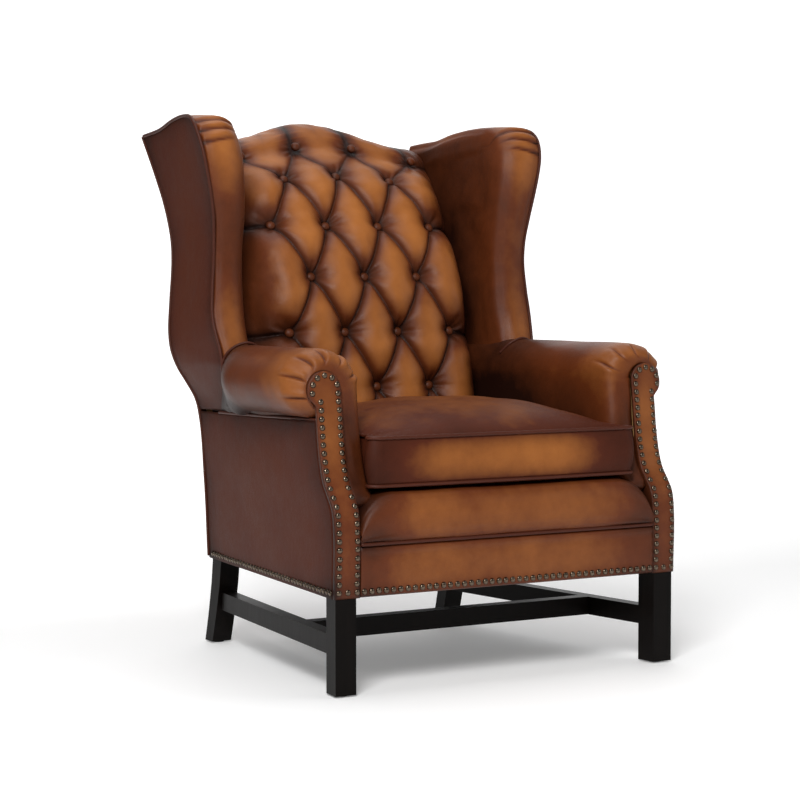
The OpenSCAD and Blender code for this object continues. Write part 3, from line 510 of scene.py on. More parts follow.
def finish(name):
    """The named finish, made once from the chosen colours."""
    if name in FINISHES:
        return FINISHES[name]
    tone = colours()
    deep, brown, tan, maroon = (tuple(c) for c in (tone.deep, tone.brown, tone.tan, tone.maroon))
    legs, brass = tuple(tone.legs), tuple(tone.brass)
    makers = {
        "leather": lambda: leather("antiqued leather", deep, brown, tan, -0.04, 0.46, 0.38, 0.32, 1.38),
        "seat leather": lambda: leather("seat leather", deep, maroon, tan, 0.04, 0.40, 0.46, 0.25, 1.30),
        "panel leather": lambda: leather("outside leather", deep, maroon, brown, 0.04, 0.44, 0.44,
                                         0.35, 1.22),
        "welt leather": lambda: leather("welt leather", deep, maroon, brown, -0.1, 0.2, 0.42, 0.4, 1.35),
        "dark wood": lambda: timber("stained legs", legs, tuple(0.5 * c for c in legs), 0.42),
        "frame wood": lambda: timber("frame beech", hex_colour("c89d6a"), hex_colour("9a6f3f"), 0.6),
        "nail": lambda: metal("antique nails", brass, tuple(0.18 * c for c in brass), 0.24, 160.0),
        "steel": lambda: metal("spring steel", hex_colour("9a9c9e"), hex_colour("5f6163"), 0.35, 60.0),
        "webbing": lambda: weave("jute webbing", hex_colour("a98c5c"), hex_colour("6d5430"), 220.0),
        "deck cloth": lambda: weave("deck cloth", hex_colour("3a2a22"), hex_colour("1b120e"), 420.0),
        "dust cloth": lambda: weave("dust cloth", hex_colour("242424"), hex_colour("0c0c0c"), 420.0),
        "zip": lambda: weave("zip tape", hex_colour("2e2520"), hex_colour("15100d"), 600.0),
        "foam": lambda: foam("foam", hex_colour("e9dcb0"), hex_colour("c4ae78")),
        "glide": lambda: metal("glide", hex_colour("3a3a3a"), hex_colour("161616"), 0.5, 40.0),
    }
    FINISHES[name] = makers[name]()
    return FINISHES[name]


def refinish(node, name, edge):
    """Gives a carried-over frame piece a finish, and eased edges if edge is set."""
    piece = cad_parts[node]
    for spot in range(max(1, len(piece.material_slots))):
        if spot < len(piece.material_slots):
            piece.material_slots[spot].material = finish(name)
        else:
            piece.data.materials.append(finish(name))
    if edge:
        bevel = piece.modifiers.new("eased", "BEVEL")
        bevel.width = edge
        bevel.segments = 2
        bevel.limit_method = "ANGLE"
        bevel.angle_limit = math.radians(30)


# ---- the chair's own lines, measured from the base's front face ----

BASE_D = 0.700
facing_set = law([(0, 0), (0.33, 0), (0.40, 0.007), (0.45, 0.022), (0.50, 0.038), (0.55, 0.047),
                  (0.60, 0.053), (0.70, 0.061), (0.80, 0.066), (0.90, 0.072), (1, 0.076)])
FACING_H = ARM_H - 0.040 - BASE_Z


def facing_y(z):
    """Set-back of the arm facing at a height."""
    return facing_set((z - BASE_Z) / FACING_H)


WING_EDGE = [
    (0.3850, 0.4985, 0.612), (0.3870, 0.5040, 0.640), (0.3910, 0.5150, 0.672), (0.3935, 0.5270, 0.712),
    (0.3900, 0.5345, 0.760), (0.3845, 0.5385, 0.825), (0.3850, 0.5350, 0.872), (0.3910, 0.5255, 0.926),
    (0.4010, 0.5195, 0.978), (0.4100, 0.5180, 1.020), (0.4170, 0.5205, 1.055), (0.4215, 0.5290, 1.082),
    (0.4235, 0.5420, 1.103), (0.4220, 0.5600, 1.118), (0.4170, 0.5850, 1.1265), (0.4080, 0.6250, 1.1300),
    (0.4000, 0.6700, 1.1300), (0.3920, 0.7250, 1.1250), (0.3800, 0.8100, 1.1120), (0.3660, 0.9250, 1.1050)]
REAR_EDGE = [
    (0.3295, 0.727, 0.508), (0.3340, 0.736, 0.535), (0.3480, 0.748, 0.567), (0.3640, 0.760, 0.600),
    (0.3720, 0.773, 0.635), (0.3720, 0.784, 0.675), (0.3650, 0.793, 0.734), (0.3540, 0.804, 0.825),
    (0.3510, 0.814, 0.872), (0.3510, 0.831, 0.917), (0.3530, 0.855, 0.967), (0.3570, 0.883, 1.017),
    (0.3600, 0.910, 1.060), (0.3640, 0.9365, 1.103)]
PANEL_FOOT = [
    (0.3435, 0.5220, 0.5135), (0.3530, 0.5310, 0.5330), (0.3620, 0.5290, 0.5540), (0.3740, 0.5170, 0.5840),
    (0.3810, 0.5060, 0.6010)]
wing_inner_x = law([(0.60, 0.305), (0.95, 0.305), (1.04, 0.311), (1.13, 0.320)])
base_plane = law([(0.36, 0.520), (0.47, 0.524), (0.555, 0.536), (0.673, 0.560), (0.790, 0.590),
                  (0.900, 0.645), (1.010, 0.715), (1.085, 0.790), (1.12, 0.830)])
CREST_RISE = 0.049
CREST_HALF = 0.230


def crest_z(x):
    """Height of the camel-back crest."""
    swing = np.minimum(np.abs(x) / CREST_HALF, 1)
    return CREST_TOP - CREST_RISE + CREST_RISE * (1 + np.cos(math.pi * swing)) / 2


def arm_seam_z(y):
    return ARM_H - 0.133 - 0.018 * y / BASE_D


def both_sides(build):
    """Calls build for the left (-1) and right (1) side, with the name of each."""
    for sign, side in ((-1, "left"), (1, "right")):
        build(sign, side)


def sided(points, sign):
    return points * [sign, 1, 1]


# ---- buttoned back ----

ROWS = [(0.437, 1), (0.555, 0), (0.673, 1), (0.790, 0), (0.900, 1), (1.010, 0), (1.080, 1)]
PITCH = 0.132
FLAT_HW = 0.190
EDGE_REACH = 0.106
EDGE_BACK = 0.125
SIDE_RUN = 0.165
FOLD_DEPTH = 0.10


def back_side(w):
    """From the distance over the back's width to x and how far the side has curved back."""
    turn = np.clip((np.abs(w) - FLAT_HW) / SIDE_RUN, 0, 1) * math.pi / 2
    x = np.sign(w) * (np.minimum(np.abs(w), FLAT_HW) + EDGE_REACH * np.sin(turn))
    return x, EDGE_BACK * (1 - np.cos(turn)) ** 0.75


def back_lines():
    """The middle line of the back up and over the crest: its points, and the run at each button row."""
    up = [(base_plane(z), z) for z in np.linspace(0.395, 1.075, 30)]
    over = [(0.812, 1.120), (0.840, 1.136), (0.872, 1.138), (0.905, 1.130), (0.928, 1.112), (0.934, 1.088)]
    line = spline([(float(y), z) for y, z in up] + over, 400)
    run = run_of(line)
    rows = []
    front = line[:, 1] <= 1.10
    for z, staggered in ROWS:
        spot = np.argmin(np.abs(line[:, 1] - z) + (1 - front) * 9)
        rows.append((run[spot], staggered))
    return line, run, rows


def row_places(staggered):
    return [k * PITCH for k in ((-1.5, -0.5, 0.5, 1.5) if staggered else (-1, 0, 1))]


def crease_lines(rows, run_end):
    """Every fold as (points over width and run, depth at its start, in its middle and at its end)."""
    folds = []
    t = np.linspace(0, 1, 15)
    for (run_a, kind_a), (run_b, kind_b) in zip(rows[:-1], rows[1:]):
        for a in row_places(kind_a):
            for b in row_places(kind_b):
                if abs(a - b) < PITCH * 0.6:
                    line = np.stack([lerp(a, b, t), lerp(run_a, run_b, t) - 0.022 * t * (1 - t)], 1)
                    folds.append((line, 0.95, FOLD_DEPTH, 0.95))
    reach = FLAT_HW + SIDE_RUN + 0.01
    for run in [run for run, staggered in rows if staggered]:
        for sign in (-1, 1):
            side = lerp(1.5 * PITCH, reach, t)
            folds.append((np.stack([sign * side, run - 0.010 * np.sin(math.pi * t)], 1), 0.95, 0.60, 0.45))
    top = rows[-1][0]
    for x in row_places(1):
        folds.append((np.stack([x + 0.0 * t, lerp(top, run_end, t)], 1), 0.95, 0.75, 0.6))
    for x in (-1.0, 0.0, 1.0):
        folds.append((np.stack([x * PITCH + 0.0 * t, lerp(top + 0.012, run_end, t)], 1), 0.0, 0.30, 0.25))
    return folds


def tuft_field(w, s, rows, run_end):
    """Pillow height from 0 at a button to 1 on a crown, and how far the folds above and below are."""
    sharp = 12.0
    total = np.zeros_like(w)
    fold_above = np.full_like(w, 1.0)
    fold_below = np.full_like(w, 1.0)
    for line, first, middle, last in crease_lines(rows, run_end):
        low = line.min(0) - 0.08
        high = line.max(0) + 0.08
        pick = (w > low[0]) & (w < high[0]) & (s > low[1]) & (s < high[1])
        if not pick.any():
            continue
        p = np.stack([w[pick], s[pick]], 1)
        best = np.full(len(p), 9.0)
        depth = np.zeros(len(p))
        over = np.zeros(len(p))
        steps = len(line) - 1
        for k in range(steps):
            a, d = line[k], line[k + 1] - line[k]
            t = np.clip(((p - a) @ d) / (d @ d), 0, 1)
            off = p - a - t[:, None] * d
            gap = np.linalg.norm(off, axis=1)
            closer = gap < best
            q = (k + t) / steps
            level = (1 - q) ** 2 * first + 2 * q * (1 - q) * middle + q * q * last
            best = np.where(closer, gap, best)
            depth = np.where(closer, level, depth)
            over = np.where(closer, off[:, 1], over)
        width = np.where(over > 0, 0.040, 0.054)
        rounded = np.sqrt(best ** 2 + 0.0016 ** 2) - 0.0016
        fall = 1 - np.sqrt(1 - (1 - np.clip(rounded / width, 0, 1)) ** 2)
        total[pick] += np.exp(sharp * np.clip(depth, 0, 1) * fall) - 1
        faint = best + 0.04 * (1 - np.clip(depth * 2.5, 0, 1))
        fold_above[pick] = np.where(over <= 0, np.minimum(fold_above[pick], faint), fold_above[pick])
        fold_below[pick] = np.where(over > 0, np.minimum(fold_below[pick], faint), fold_below[pick])
    for run, kind in rows:
        for x in row_places(kind):
            r = np.hypot(w - x, s - run)
            total += np.exp(sharp * np.exp(-(r / 0.027) ** 1.5)) - 1
    sink = np.log(1 + total) / sharp
    return np.clip(1 - sink, 0, 1), fold_above, fold_below


def button_puckers(w, s, rows):
    """Small folds that gather round each button."""
    out = np.zeros_like(w)
    draw = np.random.RandomState(11)
    for run, kind in rows:
        for x in row_places(kind):
            r = np.hypot(w - x, s - run)
            turn = np.arctan2(s - run, w - x)
            count = draw.randint(7, 10)
            phase = draw.uniform(0, 6)
            out += np.cos(count * turn + phase) * bump(r, 0.020, 0.011)
    return out


def back_surface(w, v_run, line, run):
    """Untufted points of the back at width w and run v_run along its middle line."""
    x, back = back_side(w)
    y = np.interp(v_run, run, line[:, 0])
    z = np.interp(v_run, run, line[:, 1])
    start = 0.95
    fall = (crest_z(x) - start) / (CREST_TOP - start)
    z_new = np.where(z > start, start + (z - start) * fall, z)
    dropped = np.where(z > start, (z - z_new) * 0.75, 0)
    x = x * (1 + 0.090 * smooth((z - 0.98) / 0.12) * (1 - smooth((y - 0.79) / 0.07)))
    fade = 1 - 0.8 * smooth((y - 0.80) / 0.10)
    return np.stack([x, y + back * fade - dropped * fade, z_new], -1)


class ARMCHAIR_OT_back(bpy.types.Operator):
    """Builds the diamond-buttoned back pad and its leather buttons"""
    bl_idname = "armchair.back"
    bl_label = "Buttoned back"

    def execute(self, context):
        line, run, rows = back_lines()
        run_end = run[-1]
        reach = FLAT_HW + SIDE_RUN
        cols, levels = ((301, 421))
        w, s = np.meshgrid(np.linspace(-reach, reach, cols), np.linspace(0, run_end, levels))
        base = back_surface(w, s, line, run)
        normal = turned_to(grid_normals(base), [0, -1, 0.3])
        rise, fold_above, fold_below = tuft_field(w, s, rows, run_end)
        top = rows[-1][0]
        second = rows[-2][0]
        height = law([(0, 1.0), (rows[-3][0], 0.95), (second, 0.74), ((second + top) / 2, 0.34), (top, 0.14),
                      (top + 0.03, 0.08), (run_end, 0.05)])(s) * sizes().tuft
        height *= 1 - 0.75 * smooth((np.abs(w) - 0.185) / 0.09)
        lift = height * rise + 0.0014 * button_puckers(w, s, rows) * smooth(rise * 4)
        points = base + normal * (lift + 0.0012 * ripple(base, 0.05, 5))[..., None]
        quads = grid_quads(levels, cols)
        near = np.minimum(fold_above, fold_below)
        hold = 1 - smooth((near - 0.006) / 0.020)
        rim = (np.abs(w) > reach - 0.01) | (s < 0.01) | (s > run_end - 0.01)
        hold = np.where(rim, 1.0, hold)
        points = inflate_grid(place(points), hold, 3.0, 10, 2)
        # Painted shadow darkens the back's curved sides under the wings. The crowns get a painted highlight
        # and the folds painted shade, partly real antiquing. The back is darker over the crest.
        painted_side_shadow = smooth((np.abs(w) - 0.165) / 0.08)
        crown = law([(0.0, 0.06), (0.35, 0.24), (0.70, 0.46), (1.0, 0.86)])(rise)
        shade = crown * (1 - 0.62 * painted_side_shadow) - 0.24 * np.exp(-(fold_above / 0.010) ** 1.2)
        shade -= 0.25 * np.exp(-fold_below / 0.006)
        shade -= 0.16 * smooth((s - top + 0.03) / 0.05)
        soft_piece("back_pad_leather", "back_pad", points, quads, 0.10 + shade, 0.004, (0, 0.2, 0.7))
        self.buttons(line, run, rows)
        return {"FINISHED"}

    def buttons(self, line, run, rows):
        parts = []
        shades = []
        radius = sizes().button
        for s_row, kind in rows[1:]:
            stand_off = 0.0065 + (0.009 if s_row == rows[-1][0] else 0.0)
            for x in row_places(kind):
                spots = np.array([x, x + 0.004, x])
                runs = np.array([s_row, s_row, s_row + 0.004])
                p = back_surface(spots, runs, line, run)
                out = np.cross(p[1] - p[0], p[2] - p[0])
                out /= np.linalg.norm(out)
                out *= -np.sign(out[1])
                verts, quads, shade = dome(p[0] + out * stand_off, out, radius, 0.0075, 20, 7, 1.4)
                parts.append((verts, quads))
                shades.append(0.16 + 0.22 * shade)
        verts, quads = joined(parts)
        make_piece("back_buttons_leather", place(verts), quads, finish("leather"), replaces=("back_buttons",),
                   shade=np.concatenate(shades))


def dome(centre, out, radius, rise, sides, levels, skirt):
    """A domed head: points, quads and a shade that falls to its rim. skirt is a short wall below it."""
    out = unit(np.asarray(out, float))
    side = unit(np.cross(out, [0.0, 0.31, 0.95]))
    up = np.cross(out, side)
    angles = np.linspace(0, math.pi / 2, levels)
    radii = radius * np.cos(angles)
    heights = rise * np.sin(angles)
    radii[-1] = radius * 0.02
    radii = np.concatenate(([radius * 0.05, radius * 0.86], radii))
    heights = np.concatenate(([-skirt * rise * 0.5] * 2, heights))
    turn = np.linspace(0, 2 * math.pi, sides, endpoint=False)
    ring = np.outer(np.cos(turn), side) + np.outer(np.sin(turn), up)
    points = centre + radii[:, None, None] * ring[None] + heights[:, None, None] * out
    shade = np.repeat(np.clip(heights / rise, 0, 1), sides)
    return points.reshape(-1, 3), grid_quads(len(radii), sides, closed=True), shade


# ---- seat cushion ----

CUSHION_Z = DECK_Z + 0.002
CUSHION_T = 0.108
EAR_HW = SEAT_HW + 0.020
BODY_HW = SEAT_HW - 0.008
CUSHION_FRONT = 0.016
CUSHION_BACK = 0.500


def cushion_half_width(y):
    """Half-width of the cushion: ears at the front, then straight between the arms."""
    corner = 0.022
    width = lerp(EAR_HW, BODY_HW, smooth((y - 0.030) / 0.030))
    front = np.clip((corner - (y - CUSHION_FRONT)) / corner, 0, 1)
    back = np.clip((corner - (CUSHION_BACK - y)) / corner, 0, 1)
    tuck = 1 - np.sqrt(1 - np.maximum(front, back) ** 2)
    return width - corner * tuck


def eased(count, tight=0.7):
    """Values from -1 to 1 that crowd towards both ends."""
    t = np.linspace(-1, 1, count)
    return lerp(t, np.sin(t * math.pi / 2), tight)


def rim_walk(grid):
    """The outer points of a grid in order, each once."""
    return np.concatenate([grid[0, :-1], grid[:-1, -1], grid[-1, :0:-1], grid[:0:-1, 0]])


class ARMCHAIR_OT_cushion(bpy.types.Operator):
    """Builds the loose box cushion, its welts and its zip"""
    bl_idname = "armchair.cushion"
    bl_label = "Seat cushion"

    def panel(self, top):
        cols, rows = 81, 71
        sx, sy = np.meshgrid(eased(cols), eased(rows))
        y = lerp(CUSHION_FRONT, CUSHION_BACK, (sy + 1) / 2)
        x = sx * cushion_half_width(y)
        bow = 0.004 * (1 - sx ** 2) * np.where(sy < 0, -1, 1) * np.abs(sy) ** 4
        rise = (1 - np.abs(sx) ** 3.0) * (1 - np.abs(sy) ** 2.8)
        if top:
            z = CUSHION_Z + CUSHION_T - 0.006 + sizes().crown * rise ** 0.8
        else:
            z = CUSHION_Z + 0.010 - 0.009 * smooth(rise * 4)
        return np.stack([x, y + bow, z], -1), rise

    def execute(self, context):
        upper, rise_top = self.panel(True)
        lower = self.panel(False)[0]
        rim_top, rim_low = rim_walk(upper), rim_walk(lower)
        count = len(rim_top)
        levels = 15
        t = np.linspace(0, 1, levels)[1:-1]
        out = np.roll(rim_top, -1, 0) - np.roll(rim_top, 1, 0)
        out = np.stack([out[:, 1], -out[:, 0], 0 * out[:, 0]], 1)
        out = unit(out)
        border = [lerp(rim_low, rim_top, k) + out * 0.007 * math.sin(math.pi * k) for k in t]
        rows, cols = upper.shape[:2]
        n_top = rows * cols
        index = np.arange(n_top).reshape(rows, cols)
        ring_top = rim_walk(index)
        ring_low = ring_top + n_top
        rings = [ring_low] + [2 * n_top + k * count + np.arange(count) for k in range(len(t))] + [ring_top]
        wall = []
        for below, above in zip(rings[:-1], rings[1:]):
            wall.append(np.stack([below, np.roll(below, -1), np.roll(above, -1), above], 1))
        quads = np.concatenate([grid_quads(rows, cols), grid_quads(rows, cols, n_top)[:, ::-1]] + wall)
        verts = np.concatenate([upper.reshape(-1, 3), lower.reshape(-1, 3)] + border)
        verts = place(verts)
        hold = np.zeros(len(verts))
        hold[ring_top] = hold[ring_low] = 1
        hold[n_top:2 * n_top] = 1
        verts = inflate(verts, quads, hold, 3.5, 12)
        shade = np.empty(len(verts))
        x = np.abs(verts[:, 0])
        # Painted highlight on the top's crown. The front border gets a painted highlight along its middle and
        # painted shade towards its welts and ends. The sides and back, between the arms and the back, get
        # painted shade.
        shade[:n_top] = 0.30 + 0.20 * rise_top.ravel() ** 0.6
        shade[n_top:2 * n_top] = 0.2
        wall_t = np.repeat(t, count)
        wx = x[2 * n_top:]
        front = verts[2 * n_top:, 1] < FRONT_Y + 0.05
        middle = np.sin(math.pi * wall_t) ** 0.5
        band = 0.20 + 0.56 * middle * (1 - smooth((wx - 0.12) / 0.18))
        shade[2 * n_top:] = np.where(front, band, 0.16 + 0.2 * middle)
        self.gathers(verts[:n_top])
        cushion = make_piece("seat_cushion_leather", verts, quads, finish("seat leather"), CUSHION,
                             ("cushion_cover", "cushion_core"), shade,
                             inside=(0, FRONT_Y + 0.25, CUSHION_Z + 0.06))
        radius = sizes().welt
        for name, ring in (("cushion_welt_top", ring_top), ("cushion_welt_bottom", ring_low)):
            route = verts[ring] + out * (radius * 0.55)
            points, faces = tube(route, radius, sizes().sides, closed=True)
            make_piece(name + "_leather", points, faces, finish("welt leather"), CUSHION, (name,),
                       np.full(len(points), 0.45))
        refinish("cushion_zip", "zip", 0.0004)
        return {"FINISHED"}

    def gathers(self, top):
        """Puckers the top panel where it is sewn to its welt."""
        x, y = np.abs(top[:, 0]), top[:, 1] - FRONT_Y
        to_side = cushion_half_width(y) - x
        to_end = np.minimum(y - CUSHION_FRONT, CUSHION_BACK - y)
        near = np.minimum(to_side, to_end)
        along = np.where(to_side < to_end, top[:, 1], top[:, 0])
        phase = along * 2 * math.pi / 0.019 + 3 * ripple(top, 0.12, 2)
        lift = 0.0009 * np.sin(phase) * bump(near, 0.009, 0.011)
        top[:, 2] += lift + 0.0020 * ripple(top, 0.15, 7) * smooth(near / 0.05)


# ---- arms ----

ROLL_RZ = 0.066
ROLL_RX = 0.080
ARM_PLEATS = (162, 124, 88, 52, 14, -28)
HEAD_X = BASE_HW - 0.020
HEAD_Z = ARM_H - 0.077
HEAD_R = 0.0365
FACING_T = 0.008


arm_outer_x = law([(0.33, 0.450), (0.36, 0.449), (0.40, 0.436), (0.44, 0.4155), (0.475, 0.396),
                   (0.505, 0.380), (0.545, 0.364), (0.603, 0.345), (0.66, 0.332)])


def arm_section(part, grow, y):
    """A point of the arm's section: part is 0 at the seat, 0.4 where the roll starts and 1 at its seam."""
    rx = lerp(HEAD_R, (arm_outer_x(y) - SEAT_HW) / 2, grow)
    rz = lerp(HEAD_R, ROLL_RZ, grow)
    cx = lerp(HEAD_X, SEAT_HW + rx, grow)
    cz = lerp(HEAD_Z, ARM_H - ROLL_RZ, grow)
    turn = np.radians(180 - 262 * np.clip((part - 0.4) / 0.53, 0, 1))
    x = np.where(part < 0.4, cx - rx, cx + rx * np.cos(turn))
    z = np.where(part < 0.4, lerp(BORDER_TOP + 0.003, cz, np.clip(part / 0.4, 0, 1)), cz + rz * np.sin(turn))
    under = smooth((part - 0.93) / 0.07) * grow
    seam_x = BASE_HW - 0.080 * (y - 0.01) / BASE_D - 0.004
    seam_z = arm_seam_z(y) - 0.004
    x = lerp(x, np.minimum(x, seam_x), under)
    z = lerp(z, seam_z, under)
    low = np.clip(-turn / np.radians(82), 0, 1) * math.pi / 2
    narrow = np.where((turn < 0) & (part > 0.4), smooth((0.450 - arm_outer_x(y)) / 0.05) * grow, 0)
    full_x = seam_x + (cx + rx - seam_x) * np.cos(low) ** 0.8
    full_z = cz - (cz - seam_z) * np.sin(low)
    return lerp(x, full_x, narrow), lerp(z, full_z, narrow), np.degrees(turn)


class ARMCHAIR_OT_arms(bpy.types.Operator):
    """Builds the rolled arms with the pleats round their fronts"""
    bl_idname = "armchair.arms"
    bl_label = "Arms"

    def execute(self, context):
        both_sides(self.arm)
        return {"FINISHED"}

    def arm(self, sign, side):
        parts = np.concatenate([np.linspace(0, 0.4, 28)[:-1], np.linspace(0.4, 1, 150)])
        dome_l = 0.050
        turn = np.linspace(0, math.pi / 2, 26)
        front = dome_l * (1 - np.cos(turn))
        middle = np.linspace(dome_l, 0.36, 36)[1:]
        rear = np.linspace(0.36, 0.60, 34)[1:]
        runs = np.concatenate([front, middle, rear])
        grow = np.concatenate([np.sin(turn), np.ones(len(middle) + len(rear))])
        a, b = np.meshgrid(parts, np.arange(len(runs)))
        run, growth = runs[b], grow[b]
        x, z, angle = arm_section(a, growth, run + 0.070)
        level = facing_y(z) * (1 - smooth((run - 0.05) / 0.12)) + 0.062 * smooth((run - 0.05) / 0.12)
        behind_lip = 0.048 * (1 - smooth((z - 0.335) / 0.035)) * (1 - smooth(run / 0.12)) * (a < 0.4)
        grid = np.stack([x, FACING_T + level + run + behind_lip, z], -1)
        normal = grid_normals(grid)
        middle_x = lerp(HEAD_X, SEAT_HW + ROLL_RX, growth)
        away = np.stack([x - middle_x, 0 * x, np.maximum(z - (ARM_H - ROLL_RZ), -0.02)], -1)
        normal *= np.sign((normal * away).sum(-1, keepdims=True) + 1e-9)
        draw = np.random.RandomState(21 if sign > 0 else 22)
        pleat = np.zeros_like(x)
        dark = np.zeros_like(x)
        for centre in ARM_PLEATS:
            spot = centre + draw.uniform(-6, 6)
            size = draw.uniform(0.7, 1.15)
            far = draw.uniform(0.034, 0.058)
            fade = smooth(run / 0.010) * (1 - smooth((run - far * 0.35) / far))
            skew = angle - spot - 70 * run * draw.uniform(-1, 1)
            pleat += size * fade * (-1.3 * bump(skew, 0, 3.0) + 0.80 * bump(skew, 9.0, 7.5))
            dark = np.maximum(dark, size * fade * bump(skew, -0.3, 2.0))
        rolled = smooth((a - 0.34) / 0.08)
        uneven = 0.0016 * ripple(grid * [1, 0.6, 1], 0.11, 31 + sign)
        grid = grid + normal * (sizes().pleat * pleat * rolled + uneven)[..., None]
        quads = grid_quads(*grid.shape[:2])
        hold = np.zeros_like(x)
        hold[:3] = hold[-1:] = 1
        hold[:, :2] = hold[:, -2:] = 1
        hold = np.maximum(hold, np.clip(dark, 0, 1) * rolled)
        points = inflate(sided(place(grid), sign), quads, hold, 3.0, 10)
        # Painted shade under the roll, down the inside towards the seat and in the pleat creases. The front
        # is lighter, and the pad is darker towards the rear and at the very front edge by the facing.
        low_edge = smooth((a - 0.72) / 0.28)
        inside_low = 1 - smooth((z - 0.50) / 0.12)
        shade = 0.47 - 0.30 * low_edge - 0.26 * inside_low * (a < 0.4) - 0.38 * dark * rolled
        shade += 0.22 * (1 - smooth((run - 0.03) / 0.12)) - 0.28 * smooth((run - 0.20) / 0.20)
        shade -= 0.20 * (1 - smooth(run / 0.008))
        soft_piece("arm_pad_" + side + "_leather", "arm_pad_" + side, points, quads, shade, 0.003,
                   (sign * 0.365, FRONT_Y + 0.28, 0.58))


# ---- wings ----

def wing_outline(count):
    """The wing's outer edge from its foot up the front and back along its top."""
    return spline(WING_EDGE, count)


class ARMCHAIR_OT_wings(bpy.types.Operator):
    """Builds the padded wings with the pleats over their top corners"""
    bl_idname = "armchair.wings"
    bl_label = "Wings"

    def execute(self, context):
        both_sides(self.wing)
        return {"FINISHED"}

    def wing(self, sign, side):
        count = 190
        edge = wing_outline(count)
        ahead = np.gradient(edge, axis=0)
        inward = np.stack([0 * ahead[:, 0], ahead[:, 2], -ahead[:, 1]], 1)
        inward = unit(inward)
        for _ in range(12):
            inward[1:-1] = (inward[:-2] + 2 * inward[1:-1] + inward[2:]) / 4
        inward = unit(inward)
        roll = spline([(0.0, 0.006), (0.015, 0.001), (0.12, -0.006), (0.34, -0.0105), (0.58, -0.0090),
                       (0.78, 0.001), (0.92, 0.016), (1.0, 0.040)], 34)
        xi = wing_inner_x(edge[:, 2])
        rolled = np.empty((count, len(roll), 3))
        flat_top = smooth((edge[:, 1] - 0.535) / 0.07) * smooth((edge[:, 2] - 1.0) / 0.06)
        slim = law([(0.0, 0.004), (0.1, 0.0), (0.5, -0.002), (0.80, 0.0), (0.93, 0.004), (1.0, 0.014)])
        for k, (across, depth) in enumerate(roll):
            rolled[:, k] = edge + inward * lerp(depth, float(slim(across)), flat_top)[:, None]
            rolled[:, k, 0] = lerp(edge[:, 0], xi, across)
        start = rolled[:, -1]
        p = np.linspace(0, 1, count)
        z_end = lerp(0.640, 1.070, smooth(p / 0.62) * 0.92 + 0.08 * p)
        y_end = base_plane(z_end) + 0.150
        end = np.stack([wing_inner_x(z_end), y_end, z_end], 1)
        steps = 22
        face = np.empty((count, steps, 3))
        for k in range(steps):
            t = (k + 1) / steps
            face[:, k] = lerp(start, end, t)
            face[:, k, 0] = wing_inner_x(face[:, k, 2]) - 0.005 * math.sin(math.pi * t)
        grid = np.concatenate([rolled, face], 1)
        normal = turned_to(grid_normals(grid), [-1.0, -1.4, 0.4])
        cols = grid.shape[1]
        along = run_of(edge)[:, None]
        across = np.concatenate([roll[:, 0], np.linspace(1, 2, steps)])[None]
        corner = along[np.argmin(np.abs(edge[:, 2] - 1.085) + (edge[:, 1] > 0.55) * 9), 0]
        pleat = np.zeros((count, cols))
        dark = np.zeros((count, cols))
        for k, shift in enumerate((-0.020, 0.006, 0.032)):
            bend = shift + 0.020 * (across - 0.1) * (1 - 0.3 * k)
            fade = smooth((across + 0.05) / 0.08) * (1 - smooth((across - 0.45 - 0.12 * k) / 0.42))
            away = along - corner - bend
            pleat += fade * (-1.0 * bump(away, 0, 0.0032) + 0.6 * bump(away, 0.008, 0.007))
            dark = np.maximum(dark, fade * bump(away, -0.0005, 0.0036))
        grid = grid + normal * (0.0042 * pleat + 0.0014 * ripple(grid, 0.12, 51 + sign))[..., None]
        quads = grid_quads(count, cols)
        hold = np.clip(dark, 0, 1)
        hold[:, :2] = hold[:, -2:] = 1
        hold[:2] = hold[-2:] = 1
        hold = np.maximum(hold, 0.6 * flat_top[:, None])
        points = inflate(sided(place(grid), sign), quads, hold, 1.5, 8)
        z = grid[..., 2]
        # Painted highlight on the boxing's crown, strongest at the top and at the foot. Painted shade in the
        # pleat creases. The inner face and the outer edge by the welt are darker.
        top_light = smooth((z - 0.93) / 0.12)
        foot_light = 1 - smooth((z - 0.66) / 0.16)
        crown = np.exp(-((across - 0.42) / 0.42) ** 2)
        shade = 0.36 + 0.36 * crown * np.maximum(top_light, 0.8 * foot_light) + 0.10 * crown
        shade -= 0.20 * smooth((across - 1.0) / 0.5)
        shade -= 0.30 * (1 - smooth(across / 0.05)) + 0.5 * dark
        soft_piece("wing_pad_" + side + "_leather", "wing_pad_" + side, points, quads, shade, 0.003,
                   (sign * 0.36, FRONT_Y + 0.66, 0.90))


# ---- outside panels ----

